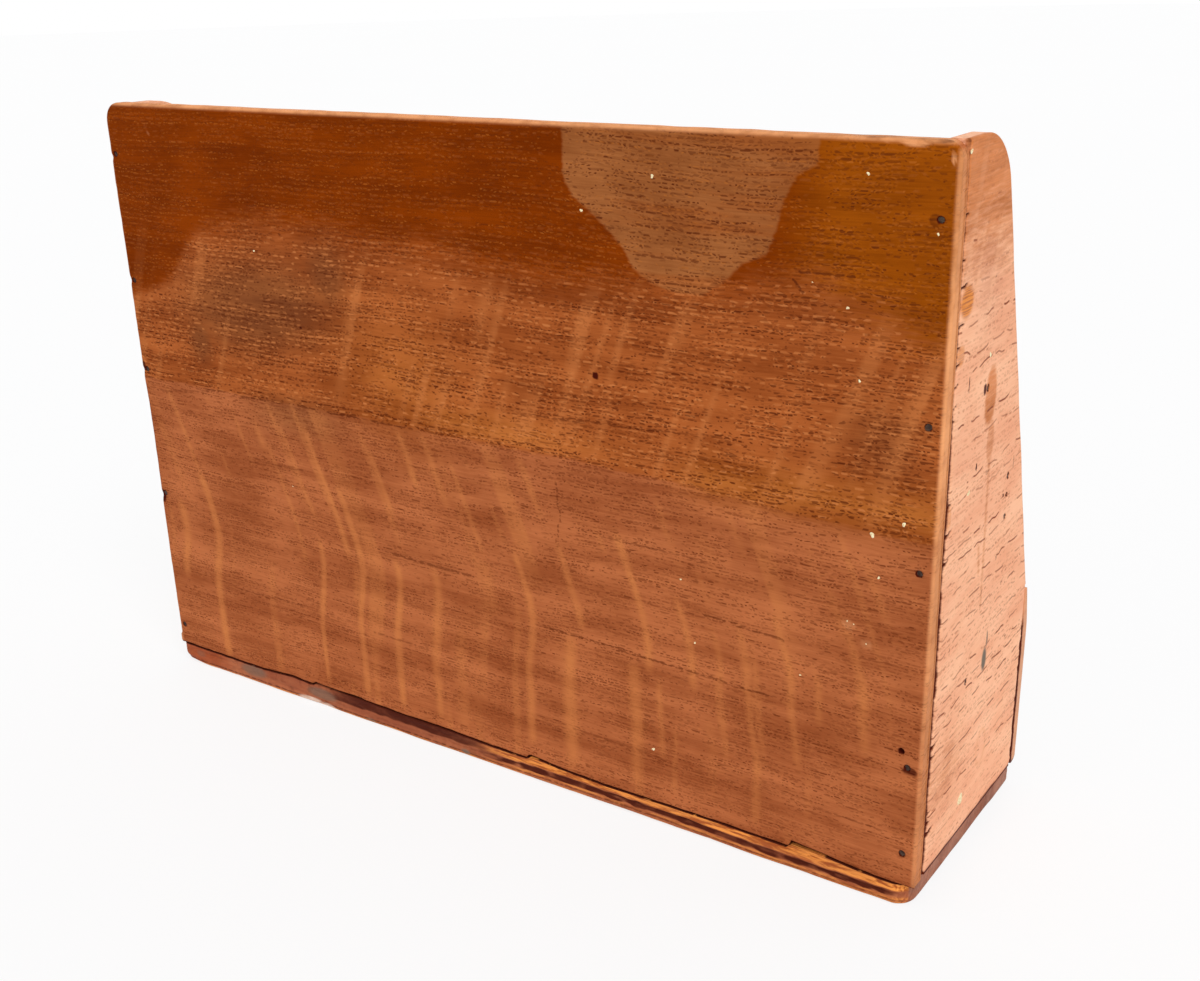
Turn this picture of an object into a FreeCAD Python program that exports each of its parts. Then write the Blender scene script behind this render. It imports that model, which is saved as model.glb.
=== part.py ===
import FreeCAD
import Part
import math
import os
from FreeCAD import Vector

# Letter rack of thin oak boards joined with panel pins. Millimetres.
# Origin: bottom centre of the rack. +X is right seen from the front, +Y is the back, +Z is up.

# Overall size
overall_width = 254.9
overall_depth = 69.0
overall_height = 176.1

# Boards
base_thickness = 7.0
back_thickness = 4.6
end_thickness = 4.8
front_thickness = 3.8
divider_thickness = 4.0

# Base board: nailed on a little to the right of true, with rounded corners and edges
base_right_overhang = 0.9     # past the right end board's outer face
base_left_inset = 1.0         # inside the left end board's outer face
base_front_inset = 0.3
base_back_corner_radius = 5.0
base_front_corner_radius = 2.5
base_lower_round = 1.5
base_upper_round = 0.5

# Back panel
back_left_corner_radius = 3.8
back_right_corner_radius = 5.5
back_outer_round = 1.0
back_inner_round = 0.4

# End boards, in side view
right_end_top_drop = 0.8      # below the overall height
end_top_depth = 26.2          # from the rack's back to where the top would meet the sloping edge
end_corner_radius = 16.0
end_round = 0.7
end_back_chamfer = 0.4        # with the back panel's inner round it leaves a fine groove

# Front panel: square inside, bevelled towards the top outside
front_panel_height = 51.3     # above the base board
front_top_width = 1.3
front_bevel_height = 10.5
front_bevel_blend = 25.0
front_top_round = 0.5
front_side_round = 0.5
front_foot_round = 1.6        # the outer edge that meets the base board
front_step = 1.5              # the end boards' slope starts this far above the front panel

# Dividers and the letter compartments beside them
rear_compartment = 18.4
middle_compartment = 14.5
rear_divider_height = 130.0   # above the base board
middle_divider_height = 98.0
divider_top_round = 1.2
divider_end_clearance = 0.1   # at each end of a divider

# Panel pins
pin_length = 19.0
front_pin_length = 15.0
pin_shank_radius = 0.5
pin_head_radius = 0.8
pin_head_thickness = 0.5
pin_head_recess = 0.3         # how far each head is punched below the surface
pin_point_length = 1.8
pin_tip_radius = 0.12
pin_clearance = 0.03          # round each shank and head

# Pins through the back panel, from its side edges
left_back_pin_inset = 3.5
right_back_pin_inset = 2.4

# Pin places: heights are above the ground, drops below the top of the board that a pin holds
left_back_pin_heights = [15.0, 37.9, 85.8, 118.6]
left_top_pin_drop = 15.1
right_back_pin_heights = [13.2, 58.6, 98.5, 125.5]
right_top_pin_drop = 14.2
rear_divider_pin_heights = [49.6]
rear_divider_top_pin_drop = 15.7
middle_divider_pin_drops = [19.8, 9.5]
front_pin_drops = [31.3, 13.3]

# Pins driven up through the base board
long_board_pin_spacing = 80.0       # along X, in the back and front panels
divider_base_pin_spacing = 120.0    # along X, in the dividers
end_base_pin_depths = [30.0, 56.0]  # from the rack's back, in the end boards

# Two old pin holes that hold no pin
spare_hole_radius = 0.5
spare_hole_depth = 2.5
end_spare_hole_drop = 14.4          # below the middle divider's top
back_spare_hole_height = 41.8
back_spare_hole_inset = 5.1         # from the back panel's side edge

# Places worked out from the sizes above
left_outer_x = -overall_width / 2
right_outer_x = overall_width / 2 - base_right_overhang
left_inner_x = left_outer_x + end_thickness
right_inner_x = right_outer_x - end_thickness
left_middle_x = left_outer_x + end_thickness / 2
right_middle_x = right_outer_x - end_thickness / 2
centre_x = (left_outer_x + right_outer_x) / 2
back_face_y = overall_depth / 2
front_face_y = -overall_depth / 2
back_inner_y = back_face_y - back_thickness
front_inner_y = front_face_y + front_thickness
back_middle_y = back_face_y - back_thickness / 2
front_middle_y = front_face_y + front_thickness / 2
rear_divider_y = back_inner_y - rear_compartment - divider_thickness / 2
middle_divider_y = rear_divider_y - divider_thickness - middle_compartment
front_panel_top = base_thickness + front_panel_height
rear_divider_top = base_thickness + rear_divider_height
middle_divider_top = base_thickness + middle_divider_height

FROM_BACK = Vector(0, -1, 0)
FROM_FRONT = Vector(0, 1, 0)
FROM_LEFT = Vector(1, 0, 0)
FROM_RIGHT = Vector(-1, 0, 0)
FROM_BELOW = Vector(0, 0, 1)


def near(value, target):
    return abs(value - target) < 1e-4


def usable_length(corner, neighbour):
    """How much of the edge between two (point, radius) corners the first one's arc may use."""
    share = 0.45 if neighbour[1] > 0 else 0.95
    return share * (neighbour[0] - corner[0]).Length


def corner_points(before, here, after):
    """Start, middle and end of the arc that rounds a (point, radius) corner, or the point if radius is 0."""
    corner, radius = here
    if radius <= 0:
        return [corner]
    to_before = (before[0] - corner).normalize()
    to_after = (after[0] - corner).normalize()
    half_angle = to_before.getAngle(to_after) / 2
    longest_tangent = min(usable_length(here, before), usable_length(here, after))
    radius = min(radius, longest_tangent * math.tan(half_angle))
    tangent_length = radius / math.tan(half_angle)
    bisector = (to_before + to_after).normalize()
    start = corner + to_before * tangent_length
    middle = corner + bisector * (radius / math.sin(half_angle) - radius)
    end = corner + to_after * tangent_length
    return [start, middle, end]


def outline_face(corners):
    """A flat face from (point, radius) corners, given in order round the outline."""
    count = len(corners)
    rounded = []
    for index in range(count):
        after = corners[(index + 1) % count]
        rounded.append(corner_points(corners[index - 1], corners[index], after))
    edges = []
    for index in range(count):
        points = rounded[index]
        if len(points) == 3:
            edges.append(Part.Arc(*points).toShape())
        edges.append(Part.makeLine(points[-1], rounded[(index + 1) % count][0]))
    return Part.Face(Part.Wire(edges))


def edges_where(shape, test):
    """The edges whose two ends and middle all pass the test."""
    found = []
    for edge in shape.Edges:
        first, last = edge.ParameterRange
        points = [edge.valueAt(first), edge.valueAt((first + last) / 2), edge.valueAt(last)]
        if all(test(point) for point in points):
            found.append(edge)
    return found


def without_bottom(edges):
    """The edges that do not lie along the bottom of a board standing on the base."""
    return [edge for edge in edges if edge.BoundBox.ZMax > base_thickness + 1e-3]


def pin(surface_point, direction, length):
    """A panel pin: flat head, round shank and tapered point, punched just below the surface."""
    head_top = surface_point + direction * pin_head_recess
    shank_start = head_top + direction * pin_head_thickness
    shank_length = length - pin_head_thickness - pin_point_length
    point_start = shank_start + direction * shank_length
    head = Part.makeCylinder(pin_head_radius, pin_head_thickness, head_top, direction)
    shank = Part.makeCylinder(pin_shank_radius, shank_length, shank_start, direction)
    point = Part.makeCone(pin_shank_radius, pin_tip_radius, pin_point_length, point_start, direction)
    return head.fuse([shank, point]).removeSplitter()


def pin_hole(surface_point, direction, length):
    """The hole that a pin sits in, open at the surface."""
    outside = surface_point - direction * pin_head_radius
    recess_depth = pin_head_radius + pin_head_recess + pin_head_thickness
    recess = Part.makeCylinder(pin_head_radius + pin_clearance, recess_depth, outside, direction)
    bore_depth = pin_head_recess + length + pin_clearance
    bore = Part.makeCylinder(pin_shank_radius + pin_clearance, bore_depth, surface_point, direction)
    return recess.fuse(bore)


def spare_hole(surface_point, direction):
    """A small round hole with no pin in it."""
    return Part.makeCylinder(spare_hole_radius, spare_hole_depth, surface_point, direction)


def pin_group(places):
    return Part.makeCompound([pin(*place) for place in places])


def drilled(board, *groups):
    """The board with the holes of every pin in these groups cut from it."""
    holes = [pin_hole(*place) for places in groups for place in places]
    return board.cut(holes)


def left_back_pin_places():
    x = left_outer_x + left_back_pin_inset
    heights = left_back_pin_heights + [overall_height - left_top_pin_drop]
    return [(Vector(x, back_face_y, z), FROM_BACK, pin_length) for z in heights]


def right_back_pin_places():
    x = right_outer_x - right_back_pin_inset
    heights = right_back_pin_heights + [overall_height - right_top_pin_drop]
    return [(Vector(x, back_face_y, z), FROM_BACK, pin_length) for z in heights]


def front_pin_places():
    places = []
    for drop in front_pin_drops:
        for x in (left_middle_x, right_middle_x):
            places.append((Vector(x, front_face_y, front_panel_top - drop), FROM_FRONT, front_pin_length))
    return places


def divider_pin_places(divider_y, heights):
    places = []
    for z in heights:
        places.append((Vector(left_outer_x, divider_y, z), FROM_LEFT, pin_length))
        places.append((Vector(right_outer_x, divider_y, z), FROM_RIGHT, pin_length))
    return places


def rear_divider_pin_places():
    heights = rear_divider_pin_heights + [rear_divider_top - rear_divider_top_pin_drop]
    return divider_pin_places(rear_divider_y, heights)


def middle_divider_pin_places():
    heights = [middle_divider_top - drop for drop in middle_divider_pin_drops]
    return divider_pin_places(middle_divider_y, heights)


def base_pin_places():
    places = []
    for x in (-long_board_pin_spacing, 0, long_board_pin_spacing):
        for y in (back_middle_y, front_middle_y):
            places.append((Vector(centre_x + x, y, 0), FROM_BELOW, pin_length))
    for x in (-divider_base_pin_spacing / 2, divider_base_pin_spacing / 2):
        for y in (rear_divider_y, middle_divider_y):
            places.append((Vector(centre_x + x, y, 0), FROM_BELOW, pin_length))
    for depth in end_base_pin_depths:
        for x in (left_middle_x, right_middle_x):
            places.append((Vector(x, back_face_y - depth, 0), FROM_BELOW, pin_length))
    return places


def base_board():
    """A thin board with rounded corners, on which every other board stands."""
    left = left_outer_x + base_left_inset
    right = right_outer_x + base_right_overhang
    front = front_face_y + base_front_inset
    outline = outline_face([
        (Vector(left, front, 0), base_front_corner_radius),
        (Vector(right, front, 0), base_front_corner_radius),
        (Vector(right, back_face_y, 0), base_back_corner_radius),
        (Vector(left, back_face_y, 0), base_back_corner_radius),
    ])
    board = outline.extrude(Vector(0, 0, base_thickness))
    lower = edges_where(board, lambda point: near(point.z, 0))
    board = board.makeFillet(base_lower_round, lower)
    upper = edges_where(board, lambda point: near(point.z, base_thickness))
    board = board.makeFillet(base_upper_round, upper)
    return drilled(board, base_pin_places())


def back_panel():
    """The full-width board that covers the back edges of both end boards."""
    outline = outline_face([
        (Vector(left_outer_x, back_face_y, base_thickness), 0),
        (Vector(right_outer_x, back_face_y, base_thickness), 0),
        (Vector(right_outer_x, back_face_y, overall_height), back_right_corner_radius),
        (Vector(left_outer_x, back_face_y, overall_height), back_left_corner_radius),
    ])
    board = outline.extrude(Vector(0, -back_thickness, 0))
    outer = edges_where(board, lambda point: near(point.y, back_face_y))
    board = board.makeFillet(back_outer_round, without_bottom(outer))
    inner = edges_where(board, lambda point: near(point.y, back_inner_y))
    board = board.makeFillet(back_inner_round, without_bottom(inner))
    hole_x = left_outer_x + back_spare_hole_inset
    hole = spare_hole(Vector(hole_x, back_face_y, back_spare_hole_height), FROM_BACK)
    return drilled(board.cut(hole), left_back_pin_places(), right_back_pin_places(), base_pin_places())


def end_board(outer_x, inner_x, top):
    """A tapered upright with a rounded top front corner and a sloping front edge."""
    slope_foot = front_panel_top + front_step
    outline = outline_face([
        (Vector(inner_x, back_inner_y, base_thickness), 0),
        (Vector(inner_x, front_inner_y, base_thickness), 0),
        (Vector(inner_x, front_inner_y, slope_foot), 0),
        (Vector(inner_x, back_face_y - end_top_depth, top), end_corner_radius),
        (Vector(inner_x, back_inner_y, top), 0),
    ])
    board = outline.extrude(Vector(outer_x - inner_x, 0, 0))
    back_edge = edges_where(board, lambda point: near(point.x, outer_x) and near(point.y, back_inner_y))
    board = board.makeChamfer(end_back_chamfer, back_edge)
    for x in (outer_x, inner_x):
        exposed = edges_where(board, lambda point: near(point.x, x) and point.z > slope_foot - 1e-4)
        exposed = [edge for edge in exposed if edge.BoundBox.YLength > 1]
        board = board.makeFillet(end_round, exposed)
    return drilled(board, front_pin_places(), rear_divider_pin_places(), middle_divider_pin_places(),
                   left_back_pin_places(), right_back_pin_places(), base_pin_places())


def left_end_board():
    """The left upright, with an old pin hole between the middle divider's pins."""
    hole_z = middle_divider_top - end_spare_hole_drop
    hole = spare_hole(Vector(left_outer_x, middle_divider_y, hole_z), FROM_LEFT)
    return end_board(left_outer_x, left_inner_x, overall_height).cut(hole)


def right_end_board():
    return end_board(right_outer_x, right_inner_x, overall_height - right_end_top_drop)


def front_panel():
    """A low board over the front edges of the end boards, bevelled outside towards its top."""
    outline = outline_face([
        (Vector(left_outer_x, front_inner_y, base_thickness), 0),
        (Vector(left_outer_x, front_inner_y, front_panel_top), front_top_round),
        (Vector(left_outer_x, front_inner_y - front_top_width, front_panel_top), front_top_round),
        (Vector(left_outer_x, front_face_y, front_panel_top - front_bevel_height), front_bevel_blend),
        (Vector(left_outer_x, front_face_y, base_thickness), front_foot_round),
    ])
    board = outline.extrude(Vector(right_outer_x - left_outer_x, 0, 0))
    for x in (left_outer_x, right_outer_x):
        outer = edges_where(board, lambda point: near(point.x, x) and point.y < front_inner_y - 1e-4)
        board = board.makeFillet(front_side_round, without_bottom(outer))
    return drilled(board, front_pin_places(), base_pin_places())


def divider(divider_y, top):
    """A board across the rack, with its top edge rounded."""
    half_thickness = divider_thickness / 2
    start_x = left_inner_x + divider_end_clearance
    length = right_inner_x - divider_end_clearance - start_x
    outline = outline_face([
        (Vector(start_x, divider_y - half_thickness, base_thickness), 0),
        (Vector(start_x, divider_y + half_thickness, base_thickness), 0),
        (Vector(start_x, divider_y + half_thickness, top), divider_top_round),
        (Vector(start_x, divider_y - half_thickness, top), divider_top_round),
    ])
    return outline.extrude(Vector(length, 0, 0))


def rear_divider():
    board = divider(rear_divider_y, rear_divider_top)
    return drilled(board, rear_divider_pin_places(), base_pin_places())


def middle_divider():
    board = divider(middle_divider_y, middle_divider_top)
    return drilled(board, middle_divider_pin_places(), base_pin_places())


def left_back_pins():
    return pin_group(left_back_pin_places())


def right_back_pins():
    return pin_group(right_back_pin_places())


def front_pins():
    return pin_group(front_pin_places())


def rear_divider_pins():
    return pin_group(rear_divider_pin_places())


def middle_divider_pins():
    return pin_group(middle_divider_pin_places())


def base_pins():
    return pin_group(base_pin_places())


pieces = [
    base_board,
    back_panel,
    left_end_board,
    right_end_board,
    front_panel,
    rear_divider,
    middle_divider,
    left_back_pins,
    right_back_pins,
    front_pins,
    rear_divider_pins,
    middle_divider_pins,
    base_pins,
]

os.makedirs("parts", exist_ok=True)
for make_piece in pieces:
    shape = make_piece()
    shape.exportStep("parts/" + make_piece.__name__ + ".step")
    print(make_piece.__name__, len(shape.Solids), round(shape.Volume, 1))
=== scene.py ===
import math

import bmesh
import bpy
import numpy as np
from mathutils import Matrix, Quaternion, Vector


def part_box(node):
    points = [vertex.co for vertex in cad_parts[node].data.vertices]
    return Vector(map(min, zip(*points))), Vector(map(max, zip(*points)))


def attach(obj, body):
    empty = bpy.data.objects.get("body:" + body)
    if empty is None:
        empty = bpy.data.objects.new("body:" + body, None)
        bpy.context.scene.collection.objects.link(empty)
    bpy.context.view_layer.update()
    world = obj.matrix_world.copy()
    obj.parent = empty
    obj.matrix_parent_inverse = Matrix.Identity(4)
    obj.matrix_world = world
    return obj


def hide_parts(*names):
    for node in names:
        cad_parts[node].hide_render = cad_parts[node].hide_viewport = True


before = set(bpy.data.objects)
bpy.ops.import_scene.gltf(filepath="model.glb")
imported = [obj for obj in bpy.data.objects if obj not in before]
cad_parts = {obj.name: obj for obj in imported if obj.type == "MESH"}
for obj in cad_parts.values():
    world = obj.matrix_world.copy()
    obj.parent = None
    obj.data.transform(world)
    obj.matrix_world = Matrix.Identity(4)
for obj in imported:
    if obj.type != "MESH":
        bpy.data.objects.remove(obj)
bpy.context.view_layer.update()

# An old oak letter rack seen from behind. Shapes are worked out in millimetres and stored in metres.
# The back panel, the base's rear edge and the left end board carry the most detail.
mm = 0.001


def nodeBox(node):                        # lowest and highest corner of a CAD node, in millimetres
    low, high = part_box(node)
    return np.array(low) / mm, np.array(high) / mm


def ease(value, start, end):              # 0 before start, 1 after end, an S-shaped rise between
    t = np.clip((value - start) / (end - start), 0, 1)
    return t * t * (3 - 2 * t)


def hump(value, centre, width):           # a bell of height 1: e to the minus square of (distance / width)
    return np.exp(-((value - centre) / width) ** 2)


def mottle(a, b, sizeA, sizeB, seed):
    # smooth noise from -1 to 1: random values on a lattice of sizeA by sizeB, eased between the four nearest
    lattice = np.random.default_rng(seed).uniform(-1, 1, (61, 67))
    cellA = np.floor(a / sizeA).astype(int)
    cellB = np.floor(b / sizeB).astype(int)
    partA = ease(a / sizeA - cellA, 0, 1)
    partB = ease(b / sizeB - cellB, 0, 1)
    near = lattice[cellA % 61, cellB % 67] * (1 - partA) + lattice[(cellA + 1) % 61, cellB % 67] * partA
    far = lattice[cellA % 61, (cellB + 1) % 67] * (1 - partA) + lattice[(cellA + 1) % 61, (cellB + 1) % 67] * partA
    return near * (1 - partB) + far * partB


def paint(red, green, blue):              # a colour as a paint chart gives it, 0 to 255, turned into linear light
    parts = [c / 255 for c in (red, green, blue)]
    return [c / 12.92 if c < 0.04045 else ((c + 0.055) / 1.055) ** 2.4 for c in parts] + [1.0]


# Shader helpers

def addNode(tree, kind, inputs=None, **settings):
    node = tree.nodes.new("ShaderNode" + kind)
    for key, value in settings.items():
        setattr(node, key, value)
    for key, value in (inputs or {}).items():
        if isinstance(value, bpy.types.NodeSocket):
            tree.links.new(value, node.inputs[key])
        else:
            node.inputs[key].default_value = value
    return node


def calc(tree, operation, first, second=0.0, third=0.0):
    return addNode(tree, "Math", {0: first, 1: second, 2: third}, operation=operation).outputs[0]


def noiseOf(tree, vector, scale=1.0, detail=2.0, roughness=0.5):
    values = {"Vector": vector, "Scale": scale, "Detail": detail, "Roughness": roughness}
    return addNode(tree, "TexNoise", values).outputs[0]


def stretched(tree, vector, lengths):     # the vector divided by a length in millimetres along each axis
    factors = [1 / length for length in lengths]
    return addNode(tree, "VectorMath", {0: vector, 1: factors}, operation="MULTIPLY").outputs[0]


def between(tree, value, start, end, low=0.0, high=1.0):
    values = {"Value": value, "From Min": start, "From Max": end, "To Min": low, "To Max": high}
    return addNode(tree, "MapRange", values, interpolation_type="SMOOTHSTEP").outputs["Result"]


def blended(tree, amount, first, second, how="MIX"):
    node = addNode(tree, "Mix", None, data_type="RGBA", blend_type=how)
    for socket, value in ((node.inputs[0], amount), (node.inputs[6], first), (node.inputs[7], second)):
        if isinstance(value, bpy.types.NodeSocket):
            tree.links.new(value, socket)
        else:
            socket.default_value = value
    return node.outputs[2]


def painted(tree, name):                  # a value stored on the mesh's points, 0 where a board has none
    return addNode(tree, "Attribute", None, attribute_name=name).outputs["Fac"]


def newMaterial(name, roughness, specular):
    material = bpy.data.materials.new(name)
    material.use_nodes = True
    tree = material.node_tree
    shader = tree.nodes["Principled BSDF"]
    shader.inputs["Roughness"].default_value = roughness
    shader.inputs["Specular IOR Level"].default_value = specular
    return material, tree, shader


# Varnished oak. grain names the axis that the fibres run along, rings the one across them in the face.
# rows gives the strength of the fine rows of dashes above the figure line and elsewhere, the sparse rows and the dots.
oakFinishes = {
    # back: pale, deep, upperPale and upperDeep are lighter than warm, a painted reflection of the white table below the
    # dark top zone
    "back": {"grain": "X", "rings": "Z", "pale": (190, 110, 66), "deep": (150, 78, 42), "upperPale": (178, 96, 46),
             "upperDeep": (138, 66, 26), "pore": (92, 36, 12), "lowPore": (112, 50, 22), "fleck": (206, 126, 70), "warm": (139, 57, 0),
             "warmLate": (160, 80, 8), "stain": (70, 18, 8), "fresh": (214, 130, 62), "wear": (240, 166, 112),
             "greyPale": (138, 80, 42), "greyDeep": (106, 56, 30), "rows": (1.0, 0.66, 0.85, 1.0), "rowScale": 1.0, "gloss": 0.012},
    # end: colours written paler than the back's, as painted sheen and the stronger light on the end boards
    "end": {"grain": "Y", "rings": "Z", "pale": (255, 194, 154), "deep": (240, 168, 130), "upperPale": (250, 182, 142),
            "upperDeep": (230, 152, 114), "pore": (132, 60, 30), "lowPore": (160, 88, 56), "fleck": (250, 188, 146), "warm": (222, 138, 84),
            "warmLate": (206, 120, 62), "stain": (84, 28, 12), "fresh": (232, 146, 70), "wear": (240, 178, 140),
            "greyPale": (214, 152, 124), "greyDeep": (180, 122, 100), "rows": (0.6, 0.6, 0.4, 0.35), "rowScale": 1.15, "gloss": 0.03},
    "base": {"grain": "X", "rings": "Y", "pale": (182, 108, 72), "deep": (150, 80, 54), "upperPale": (182, 108, 72),
             "upperDeep": (150, 80, 54), "pore": (84, 34, 22), "lowPore": (84, 34, 22), "fleck": (196, 124, 84), "warm": (168, 84, 50),
             "warmLate": (150, 70, 36), "stain": (80, 32, 20), "fresh": (250, 160, 78), "wear": (232, 204, 184),
             "greyPale": (176, 128, 108), "greyDeep": (132, 92, 78), "rows": (0.4, 0.4, 0.4, 0.3), "rowScale": 1.1, "gloss": 0.03},
    "front": {"grain": "X", "rings": "Z", "pale": (200, 122, 78), "deep": (166, 92, 54), "upperPale": (200, 122, 78),
              "upperDeep": (166, 92, 54), "pore": (110, 50, 22), "lowPore": (110, 50, 22), "fleck": (218, 146, 96), "warm": (158, 76, 20),
              "warmLate": (170, 88, 30), "stain": (78, 26, 12), "fresh": (220, 138, 70), "wear": (232, 170, 130),
              "greyPale": (150, 92, 60), "greyDeep": (116, 66, 42), "rows": (0.5, 0.5, 0.5, 0.4), "rowScale": 1.0, "gloss": 0.08},
    "divider": {"grain": "X", "rings": "Z", "pale": (188, 110, 66), "deep": (152, 80, 42), "upperPale": (188, 110, 66),
                "upperDeep": (152, 80, 42), "pore": (100, 44, 18), "lowPore": (100, 44, 18), "fleck": (208, 136, 84), "warm": (150, 70, 14),
                "warmLate": (160, 80, 20), "stain": (70, 22, 10), "fresh": (214, 130, 62), "wear": (220, 156, 116),
                "greyPale": (150, 92, 60), "greyDeep": (116, 66, 42), "rows": (0.5, 0.5, 0.5, 0.4), "rowScale": 1.0, "gloss": 0.08},
}


def dashRows(tree, along, height, spacing, length, crowd, seed, thin=0.23, jitter=0.34):
    # rows of dashes: each row is cut into cells of one length, shifted by chance, and a cell holds a dash when its
    # random number is under crowd; the dash's length, height in the row and darkness are the cell's other random numbers;
    # thin is half its height and jitter its play up and down, both as shares of the spacing
    row = calc(tree, "DIVIDE", height, spacing)
    number = calc(tree, "FLOOR", row)
    part = calc(tree, "SUBTRACT", row, number)
    seeded = calc(tree, "ADD", number, seed)
    shift = addNode(tree, "TexWhiteNoise", {"W": seeded}, noise_dimensions="1D").outputs["Value"]
    place = calc(tree, "ADD", calc(tree, "DIVIDE", along, length), calc(tree, "MULTIPLY", shift, 17.0))
    cell = calc(tree, "FLOOR", place)
    inCell = calc(tree, "ABSOLUTE", calc(tree, "SUBTRACT", calc(tree, "SUBTRACT", place, cell), 0.5))
    key = addNode(tree, "CombineXYZ", {0: cell, 1: seeded}).outputs[0]
    random = addNode(tree, "TexWhiteNoise", {"Vector": key}, noise_dimensions="3D").outputs
    lots = addNode(tree, "SeparateXYZ", {0: random["Color"]}).outputs
    half = calc(tree, "MULTIPLY_ADD", lots[0], 0.24, 0.2)
    ends = between(tree, calc(tree, "SUBTRACT", inCell, half), -0.07, 0.05, 1.0, 0.0)
    away = calc(tree, "ABSOLUTE", calc(tree, "SUBTRACT", part, calc(tree, "MULTIPLY_ADD", lots[1], jitter, 0.5 - jitter / 2)))
    sides = between(tree, away, 0.35 * thin, thin, 1.0, 0.0)
    present = between(tree, calc(tree, "SUBTRACT", random["Value"], crowd), -0.12, 0.02, 1.0, 0.0)
    shape = calc(tree, "MULTIPLY", calc(tree, "MULTIPLY", ends, sides), present)
    shape = calc(tree, "MULTIPLY", shape, between(tree, shift, 0.15, 0.8, 0.5, 1.0))
    return calc(tree, "MULTIPLY", shape, calc(tree, "MULTIPLY_ADD", lots[2], 0.5, 0.5))


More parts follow.
